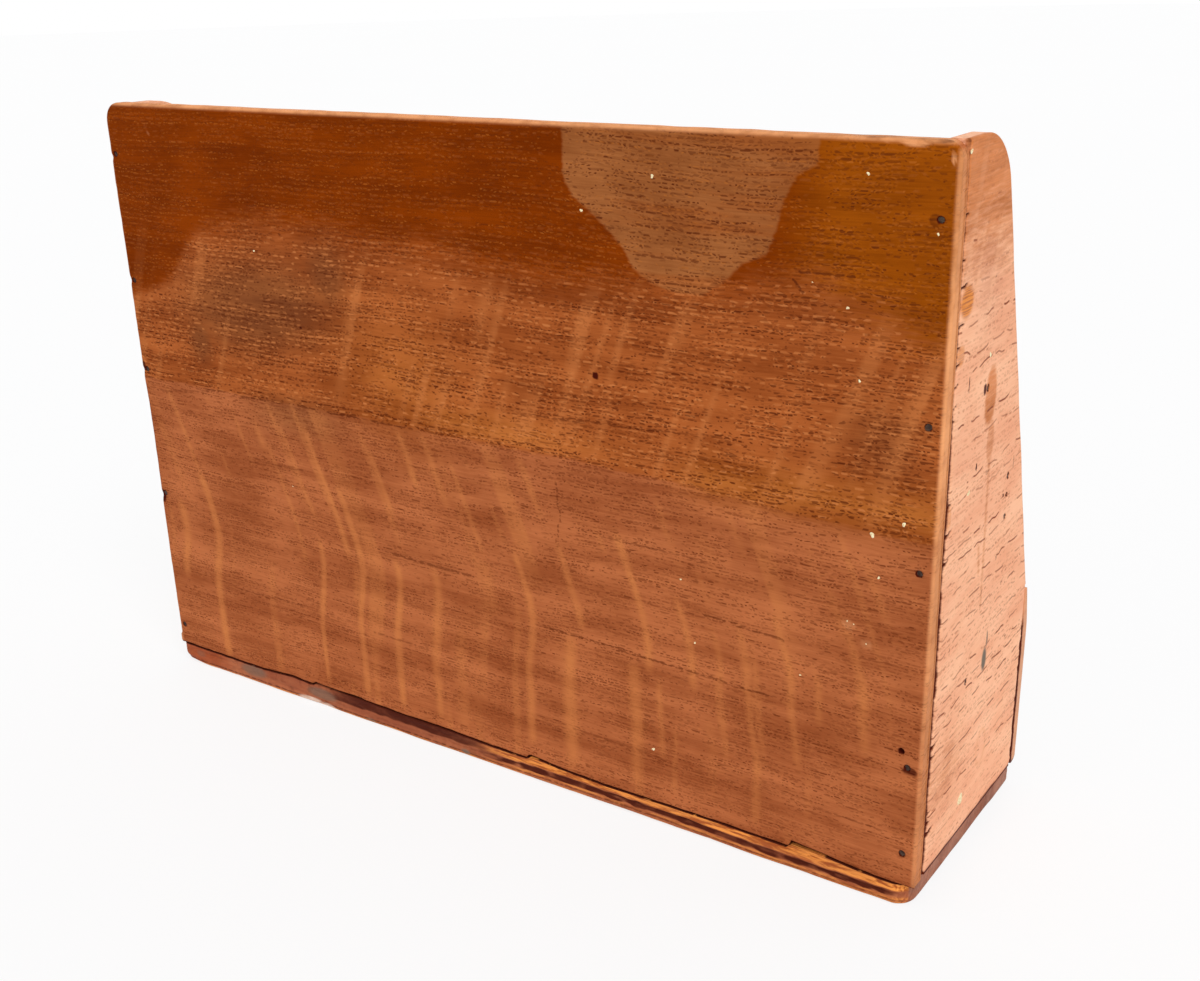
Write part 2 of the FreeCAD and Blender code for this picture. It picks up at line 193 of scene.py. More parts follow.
def oakMaterial(name):
    # colour = pale to deep wood by three fibre noises, then the painted zones with a painted reflection, ray flecks,
    # painted glints, rows of open pores, torn places, worn places and painted highlights, greyed and stained places;
    # pores, painted lines and fibres also give the bump
    look = oakFinishes[name]
    material, tree, shader = newMaterial("oak_" + name, 0.5, look["gloss"])
    place = addNode(tree, "TexCoord").outputs["Object"]
    inMm = addNode(tree, "VectorMath", {0: place, 1: (1000, 1000, 1000)}, operation="MULTIPLY").outputs[0]
    axes = addNode(tree, "SeparateXYZ", {0: inMm}).outputs
    order = {"X": 0, "Y": 1, "Z": 2}
    along = axes[order[look["grain"]]]
    across = axes[order[look["rings"]]]
    through = axes[({0, 1, 2} - {order[look["grain"]], order[look["rings"]]}).pop()]
    straight = addNode(tree, "CombineXYZ", {0: along, 1: across, 2: through}).outputs[0]
    slowWave = noiseOf(tree, stretched(tree, straight, (90, 60, 60)), detail=1.0)
    quickWave = noiseOf(tree, stretched(tree, straight, (12, 6, 8)), detail=1.0)
    bent = calc(tree, "MULTIPLY_ADD", slowWave, 4.5, across)
    bent = calc(tree, "MULTIPLY_ADD", quickWave, 0.8, bent)
    rowHeight = calc(tree, "MULTIPLY_ADD", through, 0.35, bent)
    grain = addNode(tree, "CombineXYZ", {0: along, 1: bent, 2: through}).outputs[0]

    fibre = noiseOf(tree, stretched(tree, grain, (9, 0.34, 1.2)), detail=3.0, roughness=0.6)
    bands = noiseOf(tree, stretched(tree, grain, (60, 4.5, 8)), detail=3.0)
    cloud = noiseOf(tree, stretched(tree, grain, (26, 12, 12)), detail=3.0, roughness=0.6)
    shade = calc(tree, "MULTIPLY_ADD", fibre, 0.5, calc(tree, "MULTIPLY", bands, 0.7))
    shade = calc(tree, "MULTIPLY_ADD", cloud, 0.9, shade)
    shade = between(tree, shade, 0.75, 1.35)
    edgeNoise = calc(tree, "SUBTRACT", noiseOf(tree, stretched(tree, grain, (5, 0.8, 2)), detail=3.0), 0.5)

    upper = between(tree, calc(tree, "MULTIPLY_ADD", edgeNoise, 0.3, painted(tree, "upper")), 0.38, 0.6)
    pale = blended(tree, upper, paint(*look["pale"]), paint(*look["upperPale"]))
    deep = blended(tree, upper, paint(*look["deep"]), paint(*look["upperDeep"]))
    wood = blended(tree, shade, pale, deep)

    smoke = calc(tree, "MULTIPLY_ADD", edgeNoise, 0.3, painted(tree, "smoke"))
    smoke = calc(tree, "MULTIPLY", between(tree, smoke, 0.1, 1.0), 0.8)
    wood = blended(tree, smoke, wood, blended(tree, shade, paint(*look["greyPale"]), paint(*look["greyDeep"])))
    amber = calc(tree, "MULTIPLY", painted(tree, "amber"), between(tree, fibre, 0.35, 0.6, 0.5, 1.0))
    wood = blended(tree, amber, wood, blended(tree, shade, paint(200, 120, 54), paint(158, 84, 28)))
    # on the back panel warm is the dark zone under the top edge; the lighter colours below it are a painted reflection
    # of the white table
    warm = calc(tree, "MULTIPLY_ADD", edgeNoise, 0.7, painted(tree, "warm"))
    warm = calc(tree, "MULTIPLY", between(tree, warm, 0.12, 0.88), between(tree, painted(tree, "warm"), 0.0, 0.1))
    warmTone = blended(tree, painted(tree, "late"), paint(*look["warm"]), paint(*look["warmLate"]))
    warmTone = blended(tree, 1.0, warmTone, blended(tree, shade, paint(255, 255, 255), paint(206, 196, 180)), "MULTIPLY")
    wood = blended(tree, warm, wood, warmTone)
    # painted reflection: a lighter, duller patch of colour inside the dark top zone of the back panel
    veil = between(tree, calc(tree, "MULTIPLY_ADD", edgeNoise, 0.2, painted(tree, "veil")), 0.43, 0.6)
    veilShare = calc(tree, "MULTIPLY", veil, between(tree, bands, 0.34, 0.56, 0.55, 0.97))
    wood = blended(tree, veilShare, wood, blended(tree, shade, paint(172, 106, 58), paint(138, 78, 38)))

    fleck = painted(tree, "fleck")
    seenFleck = calc(tree, "MULTIPLY", between(tree, fleck, 0.05, 0.95, 0.0, 0.85), between(tree, cloud, 0.3, 0.62, 1.0, 0.55))
    seenFleck = calc(tree, "MULTIPLY", seenFleck, between(tree, warm, 0.0, 1.0, 1.0, 0.25))
    wood = blended(tree, seenFleck, wood, paint(*look["fleck"]))

    size = look["rowScale"]
    fineUpper, fineLower, sparse, dots = look["rows"]
    thick = noiseOf(tree, stretched(tree, grain, (13, 4.5, 6)), detail=2.0, roughness=0.6)
    crowded = between(tree, thick, 0.3, 0.62, 0.15, 1.05)
    patchy = between(tree, thick, 0.32, 0.6, 0.12, 0.95)
    loose = calc(tree, "MULTIPLY_ADD", noiseOf(tree, stretched(tree, straight, (3.2, 1.3, 2)), detail=1.0), 4.0, along)
    fineRows = dashRows(tree, loose, rowHeight, 1.5 * size, 2.1 * size, crowded, 3.0, 0.22, 0.4)
    longRows = dashRows(tree, loose, rowHeight, 2.6 * size, 3.6 * size, calc(tree, "MULTIPLY", crowded, 0.6), 41.0, 0.12, 0.8)
    dotRows = dashRows(tree, loose, rowHeight, 0.8 * size, 1.25 * size, patchy, 87.0, 0.28, 0.4)
    # painted glints: rows of thin pale dashes, mostly above the figure line and few in the dark top zone
    glintRows = dashRows(tree, loose, calc(tree, "ADD", rowHeight, 0.75 * size), 1.5 * size, 2.9 * size, crowded, 140.0, 0.26, 0.4)
    plain = between(tree, warm, 0.0, 1.0, 1.0, 0.16)
    glintShare = calc(tree, "MULTIPLY", between(tree, upper, 0.0, 1.0, 0.16, 0.64), plain)
    wood = blended(tree, calc(tree, "MULTIPLY", glintRows, glintShare), wood, paint(*look["fleck"]))
    pores = calc(tree, "MULTIPLY", fineRows, between(tree, upper, 0.0, 1.0, fineLower, fineUpper))
    pores = calc(tree, "MAXIMUM", pores, calc(tree, "MULTIPLY", longRows, sparse))
    pores = calc(tree, "MAXIMUM", pores, calc(tree, "MULTIPLY", dotRows, dots))
    pores = calc(tree, "MULTIPLY", pores, between(tree, fleck, 0.2, 0.8, 1.0, 0.3))
    covered = calc(tree, "MULTIPLY", warm, between(tree, painted(tree, "late"), 0.0, 1.0, 0.5, 0.15))
    covered = calc(tree, "MULTIPLY", covered, calc(tree, "SUBTRACT", 1.0, veil))
    pores = calc(tree, "MULTIPLY", pores, calc(tree, "SUBTRACT", 1.0, covered))
    poreTone = blended(tree, calc(tree, "MAXIMUM", upper, veil), paint(*look["lowPore"]), paint(*look["pore"]))
    wood = blended(tree, calc(tree, "MULTIPLY", pores, 0.95), wood, poreTone)
    dots = calc(tree, "MULTIPLY", dashRows(tree, loose, rowHeight, 1.3, 1.3, patchy, 160.0, 0.2, 0.5), warm)
    wood = blended(tree, calc(tree, "MULTIPLY", dots, 0.35), wood, paint(196, 112, 42))

    strokeNoise = noiseOf(tree, stretched(tree, straight, (1.5, 0.8, 0.8)), detail=2.0)
    line = calc(tree, "MULTIPLY", painted(tree, "line"), between(tree, strokeNoise, 0.3, 0.6, 0.7, 1.05))
    line = calc(tree, "MULTIPLY", between(tree, line, 0.66, 0.92), painted(tree, "force"))
    wavy = calc(tree, "MULTIPLY_ADD", calc(tree, "SUBTRACT", quickWave, 0.5), 0.006, painted(tree, "strokes"))
    strokes = dashRows(tree, loose, calc(tree, "MULTIPLY", wavy, 32.0), 1.0, 9.0, calc(tree, "MULTIPLY", painted(tree, "runs"), 1.6), 220.0, 0.08, 0.12)
    line = calc(tree, "MAXIMUM", line, calc(tree, "MULTIPLY", strokes, between(tree, painted(tree, "runs"), 0.0, 0.3)))
    wood = blended(tree, line, wood, paint(*look["pore"]))
    fresh = calc(tree, "MULTIPLY", painted(tree, "fresh"), between(tree, fibre, 0.3, 0.55, 0.75, 1.0))
    wood = blended(tree, fresh, wood, blended(tree, between(tree, fibre, 0.36, 0.6), paint(168, 84, 34), paint(*look["fresh"])))
    # worn edges and chips; on the back panel also a painted highlight over the rim's side and top faces
    wearNoise = noiseOf(tree, stretched(tree, straight, (3.5, 3.5, 3.5)), detail=3.0)
    seenWear = calc(tree, "MULTIPLY", painted(tree, "wear"), between(tree, wearNoise, 0.25, 0.6, 0.65, 1.0))
    wood = blended(tree, seenWear, wood, paint(*look["wear"]))
    wood = blended(tree, painted(tree, "ash"), wood, blended(tree, cloud, paint(62, 50, 42), paint(150, 134, 116)))
    stain = calc(tree, "MULTIPLY_ADD", edgeNoise, 0.5, painted(tree, "stain"))
    stain = calc(tree, "MULTIPLY", between(tree, stain, 0.15, 0.7), between(tree, painted(tree, "stain"), 0.0, 0.15))
    wood = blended(tree, stain, wood, paint(*look["stain"]))

    tree.links.new(wood, shader.inputs["Base Color"])
    rough = calc(tree, "MULTIPLY_ADD", pores, 0.2, between(tree, cloud, 0.3, 0.7, 0.42, 0.56))
    tree.links.new(rough, shader.inputs["Roughness"])
    height = calc(tree, "MULTIPLY_ADD", calc(tree, "MAXIMUM", pores, line), -0.09, calc(tree, "MULTIPLY", fibre, 0.03))
    bump = addNode(tree, "Bump", {"Height": height, "Distance": 0.001, "Strength": 0.8})
    tree.links.new(bump.outputs[0], shader.inputs["Normal"])
    return material


def steelMaterial():
    # old steel: grey-brown by two noises, with rust where the fine one is high and pits in the bump
    material, tree, shader = newMaterial("old_steel", 0.5, 0.3)
    place = addNode(tree, "TexCoord").outputs["Object"]
    inMm = addNode(tree, "VectorMath", {0: place, 1: (1000, 1000, 1000)}, operation="MULTIPLY").outputs[0]
    coarse = noiseOf(tree, inMm, 0.9, 3.0)
    fine = noiseOf(tree, inMm, 4.0, 4.0, 0.65)
    metal = blended(tree, between(tree, coarse, 0.35, 0.65), paint(46, 34, 30), paint(86, 72, 62))
    metal = blended(tree, between(tree, fine, 0.45, 0.7), metal, paint(84, 42, 24))
    tree.links.new(metal, shader.inputs["Base Color"])
    tree.links.new(between(tree, fine, 0.3, 0.7, 0.35, 0.75), shader.inputs["Roughness"])
    shader.inputs["Metallic"].default_value = 0.6
    bump = addNode(tree, "Bump", {"Height": fine, "Distance": 0.00008, "Strength": 0.7})
    tree.links.new(bump.outputs[0], shader.inputs["Normal"])
    return material


# Mesh helpers

def gridLines(start, end, step, spots=(), fine=0.35, reach=1.2):
    # positions from start to end: even steps, closer at both ends, where the edges are rounded, and at the spots
    rounding = np.array([0, 0.12, 0.3, 0.55, 0.85, 1.2, 1.7])
    special = [start + rounding, end - rounding]
    special += [np.arange(spot - reach, spot + reach + 0.01, fine) for spot in spots]
    special = np.unique(np.clip(np.concatenate(special), start, end))
    even = np.arange(start, end, step)
    alone = np.abs(even[:, None] - special[None, :]).min(axis=1) > 0.5 * step
    lines = np.unique(np.concatenate([special, even[alone]]))
    lines = lines[np.concatenate([[True], np.diff(lines) > 0.06])]
    lines[-1] = end
    return lines


def squeezed(rows, low, high, band):
    # rows keep their places in the middle; within band of either end they close up to the outline there
    bottom, top = rows[0], rows[-1]
    grid = np.repeat(rows[None, :], len(low), axis=0)
    fromLow = (rows - bottom) / band
    fromHigh = (top - rows) / band
    nearLow = low[:, None] + fromLow[None, :] * (bottom + band - low[:, None])
    nearHigh = high[:, None] - fromHigh[None, :] * (high[:, None] - top + band)
    grid = np.where(fromLow[None, :] < 1, nearLow, grid)
    return np.where(fromHigh[None, :] < 1, nearHigh, grid)


def borderOf(count, rows):                # point numbers round the rim of a count by rows grid
    i, j = np.arange(count), np.arange(rows)
    return np.concatenate([i * rows, (count - 1) * rows + j[1:], i[-2::-1] * rows + rows - 1, j[-2:0:-1]])


def inwardNormals(a, b):                  # unit vectors pointing into a closed loop, square to it
    tangentA = np.roll(a, -1) - np.roll(a, 1)
    tangentB = np.roll(b, -1) - np.roll(b, 1)
    length = np.hypot(tangentA, tangentB) + 1e-9
    return -tangentB / length, tangentA / length


def edgeDistance(a, b, loopA, loopB, exposed, reach):
    # shortest distance from each point to the exposed stretches of the outline, at most reach
    distance = np.full(a.shape, reach, float)
    startA, startB = loopA[exposed], loopB[exposed]
    stepA = np.roll(loopA, -1)[exposed] - startA
    stepB = np.roll(loopB, -1)[exposed] - startB
    squared = stepA ** 2 + stepB ** 2 + 1e-12
    flatA, flatB = a.ravel(), b.ravel()
    out = distance.ravel()
    for part in np.array_split(np.arange(flatA.size), max(1, flatA.size // 4000)):
        fromA = flatA[part, None] - startA[None, :]
        fromB = flatB[part, None] - startB[None, :]
        t = np.clip((fromA * stepA + fromB * stepB) / squared, 0, 1)
        gap = np.hypot(fromA - t * stepA, fromB - t * stepB).min(axis=1)
        out[part] = np.minimum(gap, reach)
    return out.reshape(a.shape)


def roundDrop(distance, radius):          # how far a quarter-round edge lies below the face at a distance from the edge
    inside = np.clip(radius - distance, 0, radius)
    return radius - np.sqrt(np.maximum(radius ** 2 - inside ** 2, 0))


def dimple(a, b, atA, atB, radius, depth, soft=0.3):   # a round recess with a short sloping wall
    return depth * (1 - ease(np.hypot(a - atA, b - atB), radius - soft / 2, radius + soft / 2))


def addBoard(name, place, a, b, depth, thickness, innerRound, rimOffset=None, rimCount=4):
    # a closed board: the face grid, rings down its rim with rimOffset cut inwards, a rounded inner edge and a flat back
    count, rows = a.shape
    border = borderOf(count, rows)
    loopA, loopB, loopD = a.ravel()[border], b.ravel()[border], depth.ravel()[border]
    normalA, normalB = inwardNormals(loopA, loopB)
    ringSets = []
    for share in np.linspace(0, 1, rimCount + 1)[1:]:
        ringDepth = loopD + (thickness - innerRound - loopD) * share
        cut = 0 if rimOffset is None else rimOffset(loopA, loopB, ringDepth)
        ringSets.append((cut, ringDepth))
    lastCut = ringSets[-1][0]
    for angle in (30, 60, 90):
        turn = math.radians(angle)
        ringSets.append((lastCut + innerRound * (1 - math.cos(turn)), thickness - innerRound * (1 - math.sin(turn))))
    ringSets.append((lastCut + innerRound + 1.2, np.full(len(border), thickness)))
    allA, allB, allD = [a.ravel()], [b.ravel()], [depth.ravel()]
    for cut, ringDepth in ringSets:
        allA.append(np.clip(loopA + normalA * cut, a.min() + cut, a.max() - cut))
        allB.append(np.clip(loopB + normalB * cut, b.min() + cut, b.max() - cut))
        allD.append(ringDepth + np.zeros(len(border)))
    allA, allB, allD = (np.concatenate(values) for values in (allA, allB, allD))
    i, j = np.meshgrid(np.arange(count - 1), np.arange(rows - 1), indexing="ij")
    corner = (i * rows + j).ravel()
    quads = [np.stack([corner, corner + rows, corner + rows + 1, corner + 1], axis=1)]
    upperRing = border
    for ring in range(len(ringSets)):
        lowerRing = count * rows + ring * len(border) + np.arange(len(border))
        quads.append(np.stack([upperRing, lowerRing, np.roll(lowerRing, -1), np.roll(upperRing, -1)], axis=1))
        upperRing = lowerRing
    faces = np.concatenate(quads).tolist() + [upperRing[::-1].tolist()]
    points = np.stack(place(allA, allB, allD), axis=1)
    mesh = bpy.data.meshes.new(name)
    mesh.from_pydata(points * mm, [], faces)
    board = bpy.data.objects.new(name, mesh)
    bpy.context.scene.collection.objects.link(board)
    work = bmesh.new()
    work.from_mesh(mesh)
    bmesh.ops.remove_doubles(work, verts=work.verts, dist=2e-6)
    bmesh.ops.recalc_face_normals(work, faces=work.faces)
    work.to_mesh(mesh)
    work.free()
    mesh.polygons.foreach_set("use_smooth", [len(p.vertices) <= 4 for p in mesh.polygons])
    mesh.update()
    return board


def meshPoints(board):                    # x, y and z of every point of a board, in millimetres
    flat = np.empty(len(board.data.vertices) * 3, np.float32)
    board.data.vertices.foreach_get("co", flat)
    return (flat.reshape(-1, 3).astype(float) / mm).T


def storeValues(board, **values):         # keeps each painted value on the mesh's points
    for name, amounts in values.items():
        attribute = board.data.attributes.new(name, "FLOAT", "POINT")
        attribute.data.foreach_set("value", np.clip(amounts, 0, 1).astype(np.float32))


def settle(board, node, material):  # the board takes the CAD node's place and its slot's finish
    board.data.materials.append(material)
    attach(board, "root")
    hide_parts(node)


def signedDistance(a, b, outline, reach):
    # distance to a closed outline, positive inside it: a point is inside when a line from it crosses an odd number of sides
    loopA, loopB = (np.array(values, float) for values in zip(*outline))
    distance = edgeDistance(a, b, loopA, loopB, np.ones(len(loopA), bool), reach)
    crossings = np.zeros(a.shape, int)
    for startA, startB, endA, endB in zip(loopA, loopB, np.roll(loopA, -1), np.roll(loopB, -1)):
        between = (startB > b) != (endB > b)
        meets = startA + (b - startB) / (endB - startB + 1e-9) * (endA - startA)
        crossings += between & (a < meets)
    return np.where(crossings % 2 == 1, distance, -distance)


def lineAlong(a, b, strokes, width):
    # painted lines: each runs straight between two points, a bell across its width, faded at both ends;
    # the second result is the line's own strength, kept up for 3 widths beside it
    found, force = np.zeros_like(a), np.zeros_like(a)
    for startA, startB, endA, endB, strength in strokes:
        length = math.hypot(endA - startA, endB - startB)
        t = ((a - startA) * (endA - startA) + (b - startB) * (endB - startB)) / length
        side = ((a - startA) * (endB - startB) - (b - startB) * (endA - startA)) / length
        ends = ease(t, -0.8, 0.8) * (1 - ease(t, length - 0.8, length + 0.8))
        found = np.maximum(found, hump(side, 0, width) * ends)
        near = (np.abs(side) < 3 * width) & (t > -3 * width) & (t < length + 3 * width)
        force = np.where(near, np.maximum(force, strength), force)
    return found, force


def spotsAt(a, b, spots):
    # painted spots: place, half widths along both axes and strength, each fading over the outer third of its radius
    found = np.zeros_like(a)
    for atA, atB, sizeA, sizeB, strength in spots:
        away = np.hypot((a - atA) / sizeA, (b - atB) / sizeB)
        found = np.maximum(found, strength * (1 - ease(away, 0.65, 1.15)))
    return found


# Back panel

backPanel = {
    "cornerLeft": 3.8, "cornerRight": 5.5,      # top corners
    "outerRound": 1.0, "innerRound": 0.4,
    "columnStep": 0.82, "rowStep": 0.84,
    "leftPinX": -123.95, "rightPinX": 124.15,
    "leftPinHeights": (15.0, 37.9, 85.8, 118.6, 161.0),
    "rightPinHeights": (13.2, 58.6, 98.5, 125.5, 161.9),
    "pinRadius": 0.64, "pinDepth": 0.75,
    "oldHole": (-122.35, 41.8),
    # where the panel meets the base: places along X and heights, as torn and worn
    "jointX": (-127.5, -117, -110, -95.3, -94.6, -75, -55, -40, -25, -15.3, -14.6, 0, 13, 30, 46, 47, 60, 66, 67.5, 76, 89, 127),
    "jointZ": (6.3, 6.4, 6.9, 8.3, 6.5, 6.7, 6.5, 6.3, 6.8, 7.7, 6.5, 6.6, 7.0, 6.9, 7.3, 7.6, 7.4, 7.7, 6.9, 7.3, 6.4, 6.6),
    # the dark saturated zone under the top edge, above a painted reflection of the white table that makes all below it
    # lighter: places along X, the zone's lower edge there and how softly it ends
    "reflectionEdgeX": (-127, -110, -98, -60, -35, 20, 60, 84, 94, 101, 107, 114, 127),
    "reflectionEdgeZ": (134, 140, 144, 140, 140, 142, 146, 144, 140, 133, 126, 122.5, 121),
    "reflectionEdgeSoft": (34, 34, 30, 28, 32, 34, 30, 24, 19, 15, 11, 8, 8),
    # the painted reflection in it: a lighter, duller patch with this outline
    "patch": ((-33.5, 179), (-33.5, 164), (-36, 160), (-42, 156), (-49, 150), (-52, 145), (-57, 142), (-63, 140.5),
              (-70, 140.5), (-75, 143.5), (-80, 148.5), (-86, 151), (-88, 156), (-90, 163), (-93, 168), (-97, 170), (-98, 179)),
    # long dark lines of open grain: two ends and strength
    "lines": ((-16, 105.5, -75, 108.5, 0.75), (-93, 148, -107, 148.2, 0.9), (-20, 48.5, -90, 46.5, 0.85), (-70, 63.5, -93, 62, 0.8),
              (30, 58, 0, 57.4, 0.7), (50, 96.0, 40, 96.2, 1.0), (85, 95.4, 77, 95.8, 0.8), (30, 96.3, 25, 96.3, 0.9),
              (66, 33, 96, 32.2, 0.6), (18, 31, 40, 31.4, 0.55), (-40, 78, -72, 77, 0.6), (120, 92.4, 96, 95, 0.5),
              (-91.8, 146.7, -95.4, 143.0, 1.0), (-52, 148.3, -70, 148.0, 0.8), (-75, 156, -84, 156, 0.7), (60, 77, 84, 76, 0.5),
              (-100, 20, -118, 19.6, 0.5), (-30, 20.5, -60, 20, 0.45), (10, 113, -30, 114, 0.4), (-105, 106, -122, 106.4, 0.5)),
    # dark spots: place, half widths and strength
    "spots": ((-41.0, 118.6, 0.9, 1.1, 0.8), (61, 126, 0.5, 0.5, 0.5), (56.4, 119.0, 0.4, 0.4, 0.8), (62.5, 131.5, 0.4, 0.4, 0.6),
              (-124.6, 37.2, 2.2, 1.3, 0.6), (-122.9, 160.9, 1.7, 1.5, 0.45), (125.2, 57.6, 1.5, 2.4, 0.7), (125.4, 99.5, 1.0, 2.0, 0.6)),
    # ray flecks below the figure's change: place at z 50, top, bottom, width and strength
    "flecks": (
        (101.5, 96, 68, 1.0, 0.55), (101.6, 69, 6, 1.5, 0.9), (116.2, 58, 31, 1.7, 0.7), (111.5, 78, 66, 1.2, 0.4),
        (84.0, 98, 88, 0.9, 0.4), (87.5, 78, 68, 1.0, 0.5), (66.5, 90, 79, 1.3, 0.5), (64.5, 84, 46, 1.0, 0.5),
        (56.0, 90, 62, 1.2, 0.55), (46.2, 91, 52, 1.4, 0.75), (37.8, 96, 84, 1.0, 0.5), (41.5, 75, 9, 1.3, 0.9),
        (57.2, 57, 9, 1.1, 0.85), (22.5, 88, 69, 1.1, 0.75), (9.0, 96, 79, 1.3, 0.7), (27.6, 57, 9, 1.5, 0.85),
        (0.4, 96, 75, 1.3, 0.6), (-6.5, 90, 64, 1.0, 0.6), (13.4, 58, 9, 1.6, 0.7), (8.5, 72, 64, 1.0, 0.35),
        (-12.5, 95, 86, 0.9, 0.35), (-5.5, 64, 47, 2.6, 0.5), (-15.5, 80, 69, 1.0, 0.5), (-24.5, 80, 74, 1.0, 0.4),
        (-18.6, 69, 11, 1.4, 0.8), (-31.5, 95, 79, 1.2, 0.6), (-34.3, 73, 50, 1.4, 0.7), (-31.2, 49, 8, 2.2, 0.8),
        (-49.0, 81, 72, 1.0, 0.45), (-55.0, 80, 43, 1.3, 0.75), (-50.3, 46, 8, 1.9, 0.75), (-70.5, 91, 79, 1.2, 0.5),
        (-67.3, 67, 41, 1.2, 0.65), (-57.4, 44, 19, 0.9, 0.6), (-61.0, 31, 10, 0.8, 0.5), (-76.0, 75, 65, 1.1, 0.4),
        (-90.5, 92, 80, 1.6, 0.4), (-75.0, 61, 44, 1.3, 0.55), (-82.8, 63, 9, 1.3, 0.65), (-94.2, 69, 29, 1.4, 0.65),
        (-111.5, 79, 64, 1.4, 0.45), (-101.2, 57, 41, 1.2, 0.55), (-123.5, 87, 71, 1.4, 0.45), (-112.6, 70, 37, 1.5, 0.6),
        (-97.0, 30, 12, 1.3, 0.35), (4.5, 42, 8, 2.6, 0.45), (-71.0, 36, 12, 1.4, 0.35), (86.0, 60, 34, 1.2, 0.22),
    ),
}


def figureLine(x):                        # height of the change in the figure: level, then falling a little to the left end
    return 96.2 - 3.2 * ease(-x, 40, 125) + 0.25 * mottle(x, x * 0, 9, 1, 3)


def fleckLean(x, z):
    # sideways shift of a ray fleck at height z: leaning above 50, curling back below it, more so on the right
    above = np.maximum(z - 50, 0)
    shift = 0.43 * above ** 2 / (above + 12)
    curl = 2.6 * ease(50 - z, 0, 20) * (0.35 + 0.65 * ease(x, -60, 30)) - 3.6 * ease(-x, 20, 90) * ease(50 - z, 0, 24)
    return shift + curl


def fleckField(x, z):
    # the listed flecks, each a bell across its width and faded at both ends, over faint random ones
    straight = x - fleckLean(x, z)
    found = np.zeros_like(x)
    for place, top, bottom, width, strength in backPanel["flecks"]:
        wander = 0.4 * mottle(z, z * 0 + place, 9, 1, 11)
        body = hump(straight + wander, place, 1.35 * width * (0.85 + 0.2 * mottle(z, z * 0 + place, 13, 1, 12)))
        ends = ease(z, bottom - 3, bottom + 4) * (1 - ease(z, top - 4, top + 3))
        found = np.maximum(found, strength * body * ends)
    faint = mottle(straight, z, 3.4, 40, 5) * ease(mottle(straight, z, 24, 30, 6), -0.9, 0.2)
    faint = 0.5 * ease(faint, 0.0, 0.75)
    below = 1 - ease(z, figureLine(x) - 0.6, figureLine(x) + 0.4)
    lean = x + 0.38 * (z - 96)
    above = ease(mottle(lean, z, 2.6, 34, 8), -0.3, 0.9) * ease(mottle(lean, z, 15, 22, 9), -0.8, 0.2)
    fade = 1 - 0.8 * ease(z, 128, 154)
    return np.maximum(found, faint) * below + 0.56 * above * fade * (1 - below)


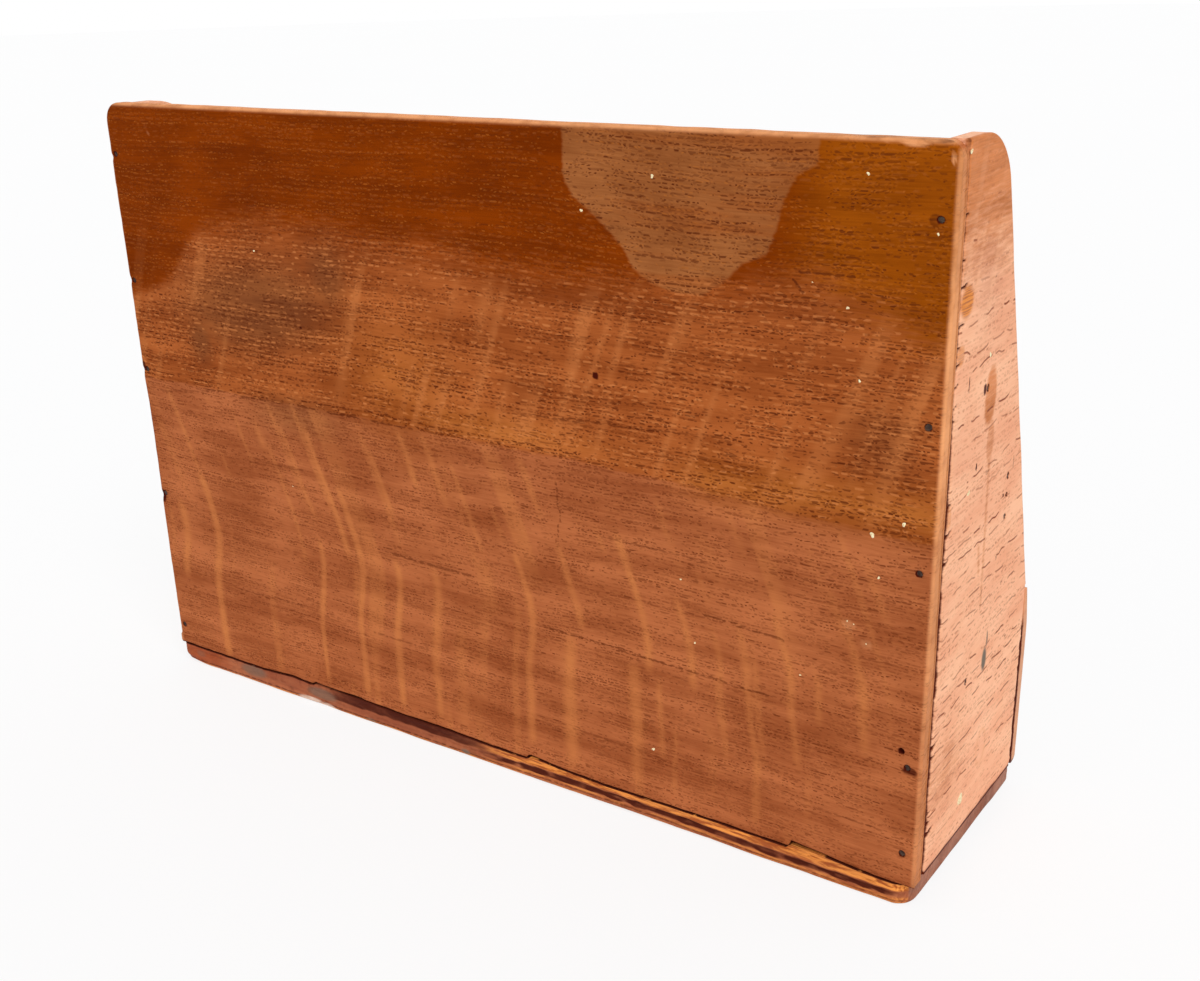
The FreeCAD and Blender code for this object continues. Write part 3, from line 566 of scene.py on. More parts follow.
def makeBackPanel(material):
    # face = flat, less its rounded edges, pin recesses, worn arrises and a slight hand-planed wave
    look = backPanel
    low, high = nodeBox("back_panel")
    left, right, face, top = low[0], high[0], high[1], high[2]
    thickness = face - low[1]
    rows = gridLines(low[2], top, look["rowStep"], look["leftPinHeights"] + look["rightPinHeights"] + (look["oldHole"][1],))
    columns = gridLines(left, right, look["columnStep"], (look["leftPinX"], look["oldHole"][0], look["rightPinX"]))
    joint = np.interp(columns, look["jointX"], look["jointZ"]) + 0.16 * mottle(columns, columns * 0, 2.1, 1, 21)
    rise = np.zeros_like(columns)
    for edge, radius in ((columns - left, look["cornerLeft"]), (right - columns, look["cornerRight"])):
        inside = np.clip(radius - edge, 0, radius)
        rise += radius - np.sqrt(radius ** 2 - inside ** 2)
    z = squeezed(rows, joint, top - rise, 9.0)
    x = np.repeat(columns[:, None], len(rows), axis=1)
    x -= 0.6 * hump(z, 74, 26) * ease(x, right - 12, right)      # the right edge is worn a little hollow
    border = borderOf(*x.shape)
    loopX, loopZ = x.ravel()[border], z.ravel()[border]
    exposed = (loopZ > 10) & (np.roll(loopZ, -1) > 10)
    gap = edgeDistance(x, z, loopX, loopZ, exposed, 3.0)
    radius = look["outerRound"] * (1 + 0.3 * mottle(x, z, 14, 14, 22) + 0.12 * mottle(x, z, 2.2, 2.2, 23))
    depth = roundDrop(gap, radius)
    lowerEdge = z - joint[:, None]
    depth += 0.22 * (1 - ease(lowerEdge, 0, 0.55 + 0.25 * mottle(x, z, 3, 3, 24)))
    for pinX, heights in ((look["leftPinX"], look["leftPinHeights"]), (look["rightPinX"], look["rightPinHeights"])):
        for pinZ in heights:
            ragged = 0.16 * mottle(x, z, 0.7, 0.7, 25)
            depth = np.maximum(depth, dimple(x + ragged, z - ragged, pinX, pinZ, look["pinRadius"], look["pinDepth"]))
    depth = np.maximum(depth, dimple(x, z, *look["oldHole"], 0.55, 1.4))
    for chipX, chipZ, size, deep in ((-127.4, 146.0, 1.3, 0.6), (-127.3, 62.8, 1.1, 0.55), (-126.9, 24, 0.8, 0.3),
                                     (-125.2, 175.6, 1.4, 0.5), (-119, 176.0, 1.1, 0.4), (126.5, 125.4, 0.9, 0.6),
                                     (126.4, 160.9, 0.8, 0.5), (126.5, 98.0, 0.9, 0.5), (126.5, 57.8, 1.1, 0.6)):
        depth += deep * hump(np.hypot(x - chipX, z - chipZ), 0, size)
    depth += 0.04 + 0.035 * mottle(x, z, 23, 19, 26)

    def rimWear(loopA, loopB, ringDepth):  # shallow hollows along the panel's side and top edges
        return 0.1 + 0.09 * mottle(loopA + loopB, ringDepth, 6, 3, 27)

    board = addBoard("back_board", lambda a, b, d: (a, face - d, b), x, z, depth, thickness, look["innerRound"], rimWear, 9)
    px, py, pz = meshPoints(board)
    outer = ease(py, face - 2.2, face - 1.2)
    edge = np.minimum(np.minimum(px - left, right - px), top - pz)
    jointHere = np.interp(px, look["jointX"], look["jointZ"])
    upper = 0.5 + np.clip(pz - figureLine(px), -3, 3) / 6
    # warm is the dark top zone; below its lower edge the lighter colours are a painted reflection of the white table
    reflectionEdge = np.interp(px, look["reflectionEdgeX"], look["reflectionEdgeZ"]) + 2.5 * mottle(px, pz, 14, 14, 31)
    soft = np.interp(px, look["reflectionEdgeX"], look["reflectionEdgeSoft"]) / 2
    warm = ease(pz, reflectionEdge - soft, reflectionEdge + soft)
    # the painted reflection's patch: 1 inside its outline, 0 outside, soft over 6 mm
    veil = 0.5 + np.clip(signedDistance(px, pz, look["patch"], 3.0), -3, 3) / 6
    smoke = 1.1 * np.exp(-((px - 74) / 36) ** 2 - ((pz - 123 + 0.08 * (px - 74)) / 15) ** 2)
    smoke = np.maximum(smoke, 0.95 * np.exp(-((px - 98) / 6) ** 2 - ((pz - 111) / 9) ** 2))
    smoke = np.maximum(smoke, 0.85 * np.exp(-((px - 45) / 10) ** 2 - ((pz - 134) / 14) ** 2))
    smoke = np.maximum(smoke, 0.7 * np.exp(-((px - 62) / 24) ** 2 - ((pz - 93) / 8) ** 2))
    smoke = np.maximum(smoke, 0.6 * np.exp(-((px + 114) / 13) ** 2 - ((pz - 115) / 12) ** 2))
    amber = 0.8 * hump(pz, 96.5 - 0.02 * px, 5.5) * ease(-px, 55, 75)
    amber = np.maximum(amber, 0.75 * hump(pz, 100, 4.5) * np.exp(-((px + 4) / 34) ** 2) * ease(pz, 96, 97.5))
    amber = np.maximum(amber, 0.55 * np.exp(-((px - 22) / 20) ** 2 - ((pz - 108) / 16) ** 2))
    pinPlaces = [(look["leftPinX"], z) for z in look["leftPinHeights"]] + [(look["rightPinX"], z) for z in look["rightPinHeights"]]
    stain = spotsAt(px, pz, [(x, z, 0.95, 0.9, 0.95) for x, z in pinPlaces] + [(x, z, 2.4, 1.8, 0.24) for x, z in pinPlaces])
    stain = np.maximum(stain, spotsAt(px, pz, look["spots"] + ((*look["oldHole"], 0.9, 0.9, 1.0),)))
    stain = np.maximum(stain, 0.7 * (1 - ease(pz - jointHere, 0.0, 0.5)))
    scuffs = spotsAt(px, pz, ((-108.1, 70.0, 1.8, 1.1, 0.3), (-112.6, 66.2, 1.6, 1.2, 0.24), (108.6, 168.6, 0.7, 0.35, 0.5), (109.2, 170.2, 0.5, 0.3, 0.4)))
    line, force = lineAlong(px, pz, look["lines"], 0.9)
    crack = crackLine(px, pz)
    figure = hump(pz, figureLine(px) - 0.2, 0.8) * ease(px, -60, 0) * ease(mottle(px, px * 0, 5, 1, 37), -0.5, 0.3)
    line = np.maximum.reduce([line, crack, figure])
    force = np.maximum.reduce([0.8 * force, 0.6 * (crack > 0.02), 0.55 * (figure > 0.02)])
    side = 1 - ease(np.minimum(px - left, right - px), 0.25, 0.9)
    acrossRim = (face - py) / thickness
    groove = side * hump(acrossRim, 0.78, 0.09) * 0.8
    # worn arrises and chips plus painted highlight: the rim's side and top faces are painted paler, less so low down
    # and at the top of each side
    wear = (1 - ease(edge, 0.15, 1.1)) * ease(py, face - 5, face - 4.4) * (0.88 + 0.12 * mottle(px, pz, 9, 9, 34))
    topDark = ease(pz, top - 1.0, top - 0.4) * ease(-px, 88, 108) * (0.8 + 0.2 * mottle(px, py, 4, 2, 38))
    chips = spotsAt(px, pz, ((-118.0, 175.3, 3.2, 0.55, 0.85), (-112.0, 175.6, 1.4, 0.4, 0.6), (-125.9, 172.8, 0.5, 1.2, 0.7)))
    stain = np.maximum(stain * outer, 0.42 * topDark * (1 - chips))
    wear = np.maximum(wear, chips * ease(py, face - 2.0, face - 0.6))
    wear *= 1 - side * (0.55 * (1 - ease(pz, 25, 115)) + 0.4 * ease(pz, 148, 166))
    storeValues(board, upper=upper * outer, warm=warm * outer, veil=veil * outer, smoke=smoke * outer, amber=np.maximum(amber * outer, groove),
                late=ease(-px, 84, 104), fleck=fleckField(px, pz) * outer * (1 - 0.5 * ease(veil, 0.45, 0.55)),
                line=line * outer, force=force, stain=stain, wear=np.maximum(wear * (1 - groove), scuffs * outer))
    settle(board, "back_panel", material)
    return board


def crackLine(x, z):                      # a hairline crack, bowed like a bracket between three points
    bow = -26 - 2.9 * (1 - ((z - 82) / 10.5) ** 2) + 0.5 * mottle(z, z * 0, 3, 1, 36)
    return hump(x, bow, 0.8) * ease(z, 70, 73) * (1 - ease(z, 89, 92))


# Boards standing on the base: the end boards, the front panel and the dividers

endBoards = {
    "step": 0.46, "cornerRound": 16.0, "topDepth": 26.2, "slopeFoot": 59.8,
    "round": 0.7, "innerRound": 0.7,
    "pinDepths": (9.5, -9.0),
    "pinHeights": ((49.6, 121.3), (85.2, 95.5)),
    "oldHole": (-9.0, 90.6),
    "pinRadius": 0.64, "pinDepth": 0.75,
    # rows of long open grain: heights and strengths
    "rows": ((23, 0.7), (27, 0.6), (31.5, 0.8), (34.7, 0.7), (39, 0.5), (43.5, 0.8), (47.5, 0.75), (50.5, 0.7), (54.5, 0.8), (59, 0.6),
             (64, 0.9), (68, 0.8), (72.5, 0.9), (76.5, 0.8), (80.5, 0.85), (84.5, 0.6), (87.5, 0.9), (90.3, 0.5), (99, 0.95), (103, 0.8),
             (111.5, 0.95), (116.5, 0.6), (128, 0.7), (132, 0.75), (138, 0.6), (146.5, 0.5), (155, 0.35), (163, 0.35)),
    # splinters torn off beside the back panel: height, length and half height
    "splinters": ((17.2, 4.5, 1.2), (20.0, 3.0, 0.8), (22.7, 3.2, 0.6), (37.6, 3.6, 0.6), (40.5, 4.6, 0.8), (86.0, 3.4, 0.8),
                  (92.5, 3.8, 0.7), (99.0, 3.0, 0.5), (118.6, 2.0, 0.6), (121.5, 2.6, 0.6), (126.0, 3.0, 0.7), (130.3, 3.2, 0.9),
                  (134.0, 2.4, 0.5), (138.4, 4.2, 0.7), (146.4, 4.5, 0.9), (152.0, 2.2, 0.5), (161.0, 2.4, 0.8)),
    # dark marks on the left board: depth, height, half widths and strength
    "marks": ((-2.2, 50.6, 1.6, 3.3, 1.0), (-3.3, 55.6, 0.5, 2.4, 0.9), (6.0, 101.0, 1.6, 0.8, 0.45), (13.3, 104.3, 0.5, 1.0, 0.9),
              (-6.5, 91.3, 0.6, 0.6, 0.8), (21.5, 125.0, 0.35, 2.3, 0.7), (-12.0, 98.0, 0.3, 2.0, 0.6), (11.5, 121.5, 1.0, 1.6, 0.75),
              (-5.0, 76.0, 0.5, 0.8, 0.5), (3.5, 70.5, 0.5, 0.9, 0.4), (22.0, 63.0, 0.4, 1.6, 0.5), (-18.0, 104.0, 0.7, 0.9, 0.3)),
}


def endFrontEdge(z, top, front, back):
    # the front edge's depth at a height: upright to the slope's foot, then a straight slope, then the corner's arc
    look = endBoards
    crown = 34.5 - look["topDepth"]
    slope = (crown - front) / (top - look["slopeFoot"])
    edge = front + slope * np.maximum(z - look["slopeFoot"], 0)
    lean = math.atan(slope)
    radius = look["cornerRound"]
    reach = radius * math.tan((math.pi / 2 - lean) / 2)
    centreY, centreZ = crown + reach, top - radius
    arcStart = top - reach * math.cos(lean)
    arc = centreY - np.sqrt(np.maximum(radius ** 2 - (z - centreZ) ** 2, 0))
    return np.where(z > arcStart, np.minimum(arc, back - 3.0), edge)


def makeEndBoard(node, name, side, material):
    # face = flat, less rounded exposed edges, pin recesses and, along the back panel, a torn crack with splinters out of it
    look = endBoards
    low, high = nodeBox(node)
    front, back, top = low[1], high[1], high[2]
    outerX = low[0] if side < 0 else high[0]
    thickness = high[0] - low[0]
    levels = gridLines(low[2], top, look["step"])
    nearTop = top - look["cornerRound"] * (1 - np.cos(np.linspace(0, 0.8, 26)))
    levels = np.unique(np.concatenate([levels[levels < nearTop.min() - 0.1], nearTop]))
    even = np.linspace(0, 1, int((back - front) / look["step"]))
    frontEdge = endFrontEdge(levels, top, front, back)
    y = frontEdge[:, None] + even[None, :] * (back - frontEdge)[:, None]
    z = np.repeat(levels[:, None], len(even), axis=1)
    border = borderOf(*z.shape)
    loopZ, loopY = z.ravel()[border], y.ravel()[border]
    nextZ, nextY = np.roll(loopZ, -1), np.roll(loopY, -1)
    exposed = (np.minimum(loopZ, nextZ) > look["slopeFoot"]) & (np.minimum(loopY, nextY) < back - 0.01)
    gap = edgeDistance(z, y, loopZ, loopY, exposed, 2.5)
    radius = look["round"] * (1 + 0.35 * mottle(z, y, 9, 9, 41))
    depth = roundDrop(gap, radius)
    torn = tornEdge(y, z, back, side)
    depth += 0.75 * torn
    fromFront = y - frontEdge[:, None]
    depth += 0.5 * (1 - ease(fromFront, 0.2, 0.9 + 0.5 * mottle(z, z * 0, 1.5, 1, 46))) * (z < look["slopeFoot"])
    for pinY, heights in zip(look["pinDepths"], look["pinHeights"]):
        for pinZ in heights:
            depth = np.maximum(depth, dimple(y, z, pinY, pinZ, look["pinRadius"], look["pinDepth"], 0.4))
    if side < 0:
        depth = np.maximum(depth, dimple(y, z, *look["oldHole"], 0.55, 1.2, 0.4))
    depth += 0.05 + 0.02 * mottle(z, y, 17, 19, 48)

    def rimWear(loopA, loopB, ringDepth):
        return 0.05 + 0.04 * mottle(loopA, ringDepth, 5, 2, 49)

    board = addBoard(name, lambda a, b, d: (outerX - side * d, b, a), z, y, depth, thickness, look["innerRound"], rimWear, 5)
    px, py, pz = meshPoints(board)
    outer = 1 - ease(np.abs(px - outerX), 0.9, 1.6)
    edge = py - endFrontEdge(pz, top, front, back)
    pins = [(pinY, pinZ, 0.85, 0.95, 0.95) for pinY, heights in zip(look["pinDepths"], look["pinHeights"]) for pinZ in heights]
    stain = np.maximum(spotsAt(py, pz, pins), tornEdge(py, pz, back, side))
    frontCrack = 0.9 * (1 - ease(edge, 0.1, 0.55 + 0.25 * mottle(pz, pz * 0, 1.5, 1, 47))) * (1 - ease(pz, 50, 60)) * ease(mottle(pz, pz * 0, 3, 1, 50), -0.8, 0.0)
    lowCrack = 0.75 * (1 - ease(pz, 7.2, 8.2 + 0.4 * mottle(py, py * 0, 5, 1, 51)))
    stain = np.maximum.reduce([stain, frontCrack, lowCrack])
    ash = np.zeros_like(px)
    warm = 0.85 * ease(pz, 126, 174) + 0.45 * np.exp(-((pz - 30) / 13) ** 2 - ((py - 20) / 16) ** 2)
    fresh = np.zeros_like(px)
    if side < 0:
        marks = look["marks"] + ((*look["oldHole"], 0.85, 0.85, 1.0),)
        stain = np.maximum(stain, 0.9 * spotsAt(py, pz, marks[2:]))
        ash = spotsAt(py, pz, marks[:2])
        warm = np.maximum(warm, 0.75 * spotsAt(py, pz, ((7.5, 119.0, 4.0, 8.0, 1.0), (5.5, 108.0, 2.6, 6.0, 0.7))))
        warm = np.maximum(warm, 0.5 * lineAlong(py, pz, ((5.6, 112, 3.4, 66, 0.55), (8.0, 84.0, 6.4, 76.0, 0.5)), 1.0)[0])
        fresh = spotsAt(py, pz, ((26.0, 143.4, 3.8, 3.6, 1.0), (27.5, 132.5, 2.2, 2.4, 0.6), (28.0, 97.0, 1.2, 3.0, 0.4)))
        ring = np.abs(np.hypot((py + 5) / 1.0, (pz - 25) / 1.6) - 3.0)
        fresh = np.maximum(fresh, 0.2 * hump(ring, 0, 0.5))
    greyed = 0.8 * ease(mottle(py, pz, 14, 22, 53), 0.15, 0.8) + 1.3 * np.exp(-((pz - 148) / 14) ** 2 - ((py - 14) / 12) ** 2)
    rays = 0.5 * ease(mottle(py + 0.25 * pz, pz, 3.2, 19, 52), 0.2, 0.85)
    wear = (1 - ease(edge, 0.2, 1.2)) * ease(pz, look["slopeFoot"], look["slopeFoot"] + 4) * 0.6
    strokes, runs = openGrain(py, pz, side)
    storeValues(board, stain=stain * outer, warm=warm * outer, fleck=rays * outer, wear=wear, strokes=strokes, runs=runs * outer,
                fresh=fresh * outer, ash=ash * outer, smoke=0.24 * greyed * outer)
    settle(board, node, material)
    return board


def tornEdge(y, z, back, side):
    # the crack along the back panel: as wide as two noises say, wider at each splinter, and nearly closed towards the top
    seed = 440 + side
    width = 1.55 + 0.35 * mottle(z, z * 0, 1.3, 1, seed) + 0.5 * mottle(z, z * 0, 4.3, 1, seed + 10)
    width *= (0.4 + 0.6 * (1 - ease(z, 100, 128))) * (1 if side < 0 else 0.6)
    found = 0.92 * (1 - ease(back - y, width * 0.65, width * 1.25)) * (0.45 + 0.55 * (1 - ease(z, 112, 168)))
    for height, length, half in endBoards["splinters"]:
        length *= (1 if side < 0 else 0.6) * (1 if height < 110 else 0.8)
        half *= 1 if height < 110 else 0.7
        away = back - y
        rise = height + (0.25 if side < 0 else -0.2) * away + 0.25 * mottle(y, y * 0 + height, 1.2, 1, seed + 20)
        body = (1 - ease(np.abs(z - rise), 0.25 * half, half * (1.1 - 0.7 * np.clip(away / length, 0, 1)) + 0.15))
        found = np.maximum(found, (0.92 if height < 110 else 0.75) * body * (1 - ease(away, length * 0.9, 1.3 * length)))
    return found


def openGrain(y, z, side):
    # wavy rows of long pores at the listed heights. The first result counts the rows from below, in 32nds: it climbs by
    # one within 2 mm of a row and is halfway on the row itself; the second is how crowded with strokes the nearest row is
    count, crowd, nearest = np.zeros_like(y), np.zeros_like(y), np.full(y.shape, 99.0)
    for number, (height, strength) in enumerate(endBoards["rows"]):
        place = height + 0.9 * mottle(y, y * 0 + height, 9, 1, 60) + 0.35 * mottle(y, y * 0 + height, 2.2, 1, 61)
        place += 0 if side < 0 else 1.7 * math.sin(number)
        count += np.clip((z - place) / 4 + 0.5, 0, 1)
        runs = strength * (0.35 + 0.65 * ease(mottle(y, y * 0 + height, 7, 1, 62), -0.6, 0.2))
        away = np.abs(z - place)
        crowd = np.where(away < nearest, runs, crowd)
        nearest = np.minimum(away, nearest)
    return count / 32, crowd


frontPanel = {
    "topWidth": 1.3, "bevelHeight": 10.5, "blend": 25.0, "round": 0.5, "footRound": 1.6, "innerRound": 0.35,
    "columnStep": 1.5, "rowStep": 1.0,
    "pinXs": (-125.05, 124.15), "pinHeights": (27.0, 45.0),
    "pinRadius": 0.92, "pinDepth": 0.75,
}


def bevelDepth(z, top, thickness):
    # how far the bevel lies behind the face: a straight slope, eased into the face by a wide arc
    look = frontPanel
    foot = top - look["bevelHeight"]
    fall = thickness - look["topWidth"]
    slope = fall / look["bevelHeight"]
    reach = look["blend"] * math.tan(math.atan(slope) / 2)
    arc = look["blend"] - np.sqrt(np.maximum(look["blend"] ** 2 - np.clip(z - foot + reach, 0, 2 * reach) ** 2, 0))
    return np.where(z < foot + reach, arc, slope * (z - foot))


def makeFrontPanel(material):
    # face = flat with a bevel towards the top, less the rounded sides and the pin recesses
    look = frontPanel
    low, high = nodeBox("front_panel")
    left, right, face, top = low[0], high[0], low[1], high[2]
    thickness = high[1] - face
    columns = gridLines(left, right, look["columnStep"], look["pinXs"])
    rows = gridLines(low[2], top, look["rowStep"], look["pinHeights"])
    x, z = np.meshgrid(columns, rows, indexing="ij")
    depth = bevelDepth(z, top, thickness)
    gap = np.minimum(np.minimum(x - left, right - x), top - z)
    radius = np.minimum(look["round"] * (1 + 0.3 * mottle(x, z, 8, 8, 61)), 0.7)
    foot = roundDrop(z - low[2], look["footRound"] * (1 + 0.6 * hump(x, left, 18) + 0.3 * hump(x, right, 10)))
    depth = np.minimum(np.maximum(depth + roundDrop(gap, radius), foot), thickness - look["innerRound"] - 0.3)
    for pinX in look["pinXs"]:
        for pinZ in look["pinHeights"]:
            depth = np.maximum(depth, dimple(x, z, pinX, pinZ, look["pinRadius"], look["pinDepth"]))
    depth += 0.03 + 0.025 * mottle(x, z, 21, 15, 62)
    board = addBoard("front_board", lambda a, b, d: (a, face + d, b), x, z, depth, thickness, look["innerRound"], None, 3)
    px, py, pz = meshPoints(board)
    edge = np.minimum(np.minimum(px - left, right - px), top - pz)
    marks = np.zeros_like(px)
    for pinX in look["pinXs"]:
        for pinZ in look["pinHeights"]:
            marks = np.maximum(marks, 0.8 * (1 - ease(np.hypot(px - pinX, pz - pinZ), 0.7, 1.5)))
    marks *= 1 - ease(py - face, 1.0, 1.5)
    lowCrack = 0.6 * (1 - ease(pz, 7.1, 8.0))
    # darker on the back part of each side face below about 50 mm, along the crack beside the end board
    sideDark = 0.85 * ease(py, face + 3.0 + 0.3 * mottle(pz, pz * 0, 2, 1, 65), face + 3.7) * (1 - ease(pz, 42, 57)) * (1 - ease(np.minimum(px - left, right - px), 0.3, 0.9))
    rays = 0.55 * ease(mottle(px - 0.3 * pz, pz, 3.0, 24, 63), 0.2, 0.8)
    wear = 0.7 * (1 - ease(edge, 0.2, 1.2))
    storeValues(board, stain=np.maximum.reduce([marks, lowCrack, sideDark]), fleck=rays, wear=wear, warm=0.4 * ease(mottle(px, pz, 60, 30, 64), 0, 0.8))
    settle(board, "front_panel", material)
    return board


dividers = {"topRound": 1.2, "columnStep": 2.4, "rowStep": 2.4}


def makeDivider(node, name, seed, material):
    # a plain board with its top edge rounded on both sides; the top round is the face's own and the back's mirror of it
    look = dividers
    low, high = nodeBox(node)
    left, right, top = low[0], high[0], high[2]
    thickness = high[1] - low[1]
    columns = gridLines(left, right, look["columnStep"])
    rows = gridLines(low[2], top, look["rowStep"])
    x, z = np.meshgrid(columns, rows, indexing="ij")
    radius = look["topRound"] * (1 + 0.12 * mottle(x, z, 18, 18, seed))
    depth = roundDrop(top - z, radius) + 0.03 + 0.025 * mottle(x, z, 25, 17, seed + 1)
    board = addBoard(name, lambda a, b, d: (a, low[1] + d, b), x, z, depth, thickness, 0.9, None, 3)
    px, py, pz = meshPoints(board)
    rays = 0.5 * ease(mottle(px + 0.25 * pz, pz, 3.0, 26, seed + 2), 0.2, 0.8)
    wear = 0.5 * (1 - ease(top - pz, 0.3, 1.4))
    storeValues(board, fleck=rays, wear=wear, stain=0.5 * (1 - ease(pz, 7.1, 8.2)),
                warm=0.6 * ease(mottle(px, pz, 70, 40, seed + 3), -0.2, 0.8))
    settle(board, node, material)
    return board


# Base board

baseBoard = {
    "backCorner": 5.0, "farCorner": 4.0, "frontCorner": 2.5, "lowerRound": 1.5, "farRound": 3.2, "upperRound": 0.5,
    "columnStep": 0.9, "rowStep": 1.6, "rimCount": 22,
}


def makeBaseBoard(material):
    # top face with rounded corners; the rim goes down to the underside with torn fibres cut into it,
    # and under the back panel its upper edge follows the worn joint
    look = baseBoard
    low, high = nodeBox("base_board")
    left, right, front, back = low[0], high[0], low[1], high[1]
    thickness = high[2]
    columns = gridLines(left, right, look["columnStep"])
    rows = gridLines(front, back, look["rowStep"])
    rises = []
    for radius in (look["frontCorner"], np.where(columns < 0, look["backCorner"], look["farCorner"])):
        inside = np.clip(radius - np.minimum(columns - left, right - columns), 0, radius)
        rises.append(radius - np.sqrt(radius ** 2 - inside ** 2))
    y = squeezed(rows, front + rises[0], back - rises[1], 7.0)
    x = np.repeat(columns[:, None], len(rows), axis=1)
    border = borderOf(*x.shape)
    loopX, loopY = x.ravel()[border], y.ravel()[border]
    gap = edgeDistance(x, y, loopX, loopY, np.ones(len(border), bool), 2.0)
    depth = roundDrop(gap, look["upperRound"])
    joint = np.interp(x, backPanel["jointX"], backPanel["jointZ"]) - 0.35
    under = ease(y, back - 3.6, back - 0.6)
    depth = depth * (1 - under) + (thickness - joint + 0.1 * mottle(x, y, 1.7, 1.7, 71)) * under
    depth = np.maximum(depth, 0.02)

    def rimFibres(loopA, loopB, ringDepth):
        # grooves and steps that run along the rear edge, deepest in a band below the joint, and a rounded lower edge
        height = thickness - ringDepth
        rear = ease(loopB, back - 1.0, back - 0.2)
        slip = height + 0.5 * mottle(loopA, loopA * 0, 30, 1, 72)
        band = hump(slip, 3.4, 0.75) * ease(-loopA, -20, 20) * 0.45
        grooves = 0.2 * ease(mottle(loopA, slip, 16, 0.55, 73), 0.0, 0.8) + 0.1 * ease(mottle(loopA, slip, 3, 0.8, 74), 0.1, 0.9)
        broken = 0.35 * hump(loopA, 62, 6) * (1 - ease(height, 1.5, 3.4))
        far = ease(loopA, 115, 125) * ease(loopB, 10, 30)
        edgeRound = look["lowerRound"] + (look["farRound"] - look["lowerRound"]) * far
        lower = roundDrop(height, edgeRound * (1 + 0.2 * mottle(loopA, loopB, 12, 12, 75)))
        return rear * (band + grooves + broken) + (1 - rear) * (0.06 + 0.05 * mottle(loopA + loopB, height, 4, 1.2, 76)) + lower

    board = addBoard("base_plank", lambda a, b, d: (a, b, thickness - d), x, y, depth, thickness, 0.12, rimFibres, look["rimCount"])
    px, py, pz = meshPoints(board)
    rear = ease(py, back - 2.4, back - 1.6)
    rightHalf = ease(-px, -10, 12)
    slip = pz + 0.35 * mottle(px, px * 0, 30, 1, 72)
    jointHere = np.interp(px, backPanel["jointX"], backPanel["jointZ"])
    ragged = 0.25 * mottle(px, pz * 0, 2.5, 1, 70)
    strands = ease(mottle(px, pz, 14, 0.5, 77), -0.6, 0.5)
    tornStrip = ease(slip + ragged, 4.1, 4.5) * rightHalf * (0.65 + 0.35 * strands)
    arris = (0.75 - 0.15 * rightHalf) * (1 - ease(pz, 0.9, 1.3))
    middle = 0.6 * rightHalf * hump(slip, 2.05, 0.4)
    darkBand = ease(slip - ragged, 2.3, 2.7) * (1 - ease(slip + ragged, 3.9, 4.3)) * (0.2 + 0.7 * rightHalf)
    darkBand *= 0.7 + 0.3 * mottle(px, pz, 2.2, 0.7, 78)
    underJoint = 0.62 * ease(slip + ragged, 3.8, 4.4) * (1 - rightHalf) * (1 - 0.85 * ease(px, 52, 66))
    jointDark = 0.95 * ease(pz, jointHere - 0.5, jointHere - 0.36)
    inside = ease(px, -124.5, -121) * (1 - ease(px, 121, 125))
    stain = np.maximum.reduce([darkBand * inside, jointDark, underJoint * inside]) * rear
    line = hump(slip, 1.6, 0.55) * rear
    ash = spotsAt(px, pz, ((93.5, 4.4, 6.0, 2.2, 0.6), (63.5, 4.4, 6.5, 2.0, 0.6), (118, 4.0, 2.0, 1.2, 0.3), (44, 1.0, 2.0, 0.8, 0.5),
                           (7.5, 1.6, 1.6, 0.9, 0.8))) * rear
    worn = spotsAt(px, pz, ((69.0, 1.1, 5.0, 1.0, 1.0), (62.0, 0.8, 3.0, 0.7, 0.9))) * rear
    sideFace = 1 - ease(np.minimum(px - left, right - px), 1.0, 2.0)
    greyed = 0.9 * sideFace * (1 - rear) * (0.8 + 0.2 * mottle(py, pz, 6, 2, 68))
    warm = 0.8 * ease(px, 98, 112) * rear + 0.4 * ease(mottle(px, py, 40, 30, 69), 0, 0.8) * (1 - rear)
    # the dark band along the top of each side face (0.45) is painted shadow under the end board's overhang
    storeValues(board, stain=np.maximum(stain, 0.45 * sideFace * ease(pz, 6.0, 6.6) * (1 - rear)), line=line,
                force=0.7 * rear, fresh=np.maximum.reduce([tornStrip, arris, middle]) * rear, wear=worn, ash=ash, smoke=greyed, warm=warm,
                fleck=0.4 * ease(mottle(px, py, 3.5, 9, 79), 0.3, 0.9) * (1 - rear))
    settle(board, "base_board", material)
    return board


# Specks of old cream paint: place and radius, on the back panel (x, z) and on the left end board (y, z)
paintSpecks = {
    "back": ((-108.3, 169.0, 0.45), (-57.5, 165.7, 0.6), (-38.3, 157.0, 0.5), (-96.8, 146.2, 0.25), (-105.0, 141.6, 0.45),
             (-108.3, 126.4, 0.4), (-112.8, 92.6, 0.75), (-119.9, 96.4, 0.6), (-114.8, 82.9, 0.45), (-68.2, 55.3, 0.45),
             (-96.6, 54.2, 0.35), (-55.8, 21.9, 0.6), (-123.6, 158.2, 0.4), (-64.2, 71.2, 0.35), (-107.8, 70.8, 0.25),
             (-109.4, 70.4, 0.22), (-112.6, 66.3, 0.22), (66.3, 71.2, 0.25), (71.3, 138.6, 0.4)),
    "end": ((9.7, 128.8, 0.75), (17.1, 99.4, 0.85), (7.1, 16.2, 1.7), (29.3, 173.6, 0.7)),
    "thickness": 0.14, "share": 0.8,      # of the listed radius
}


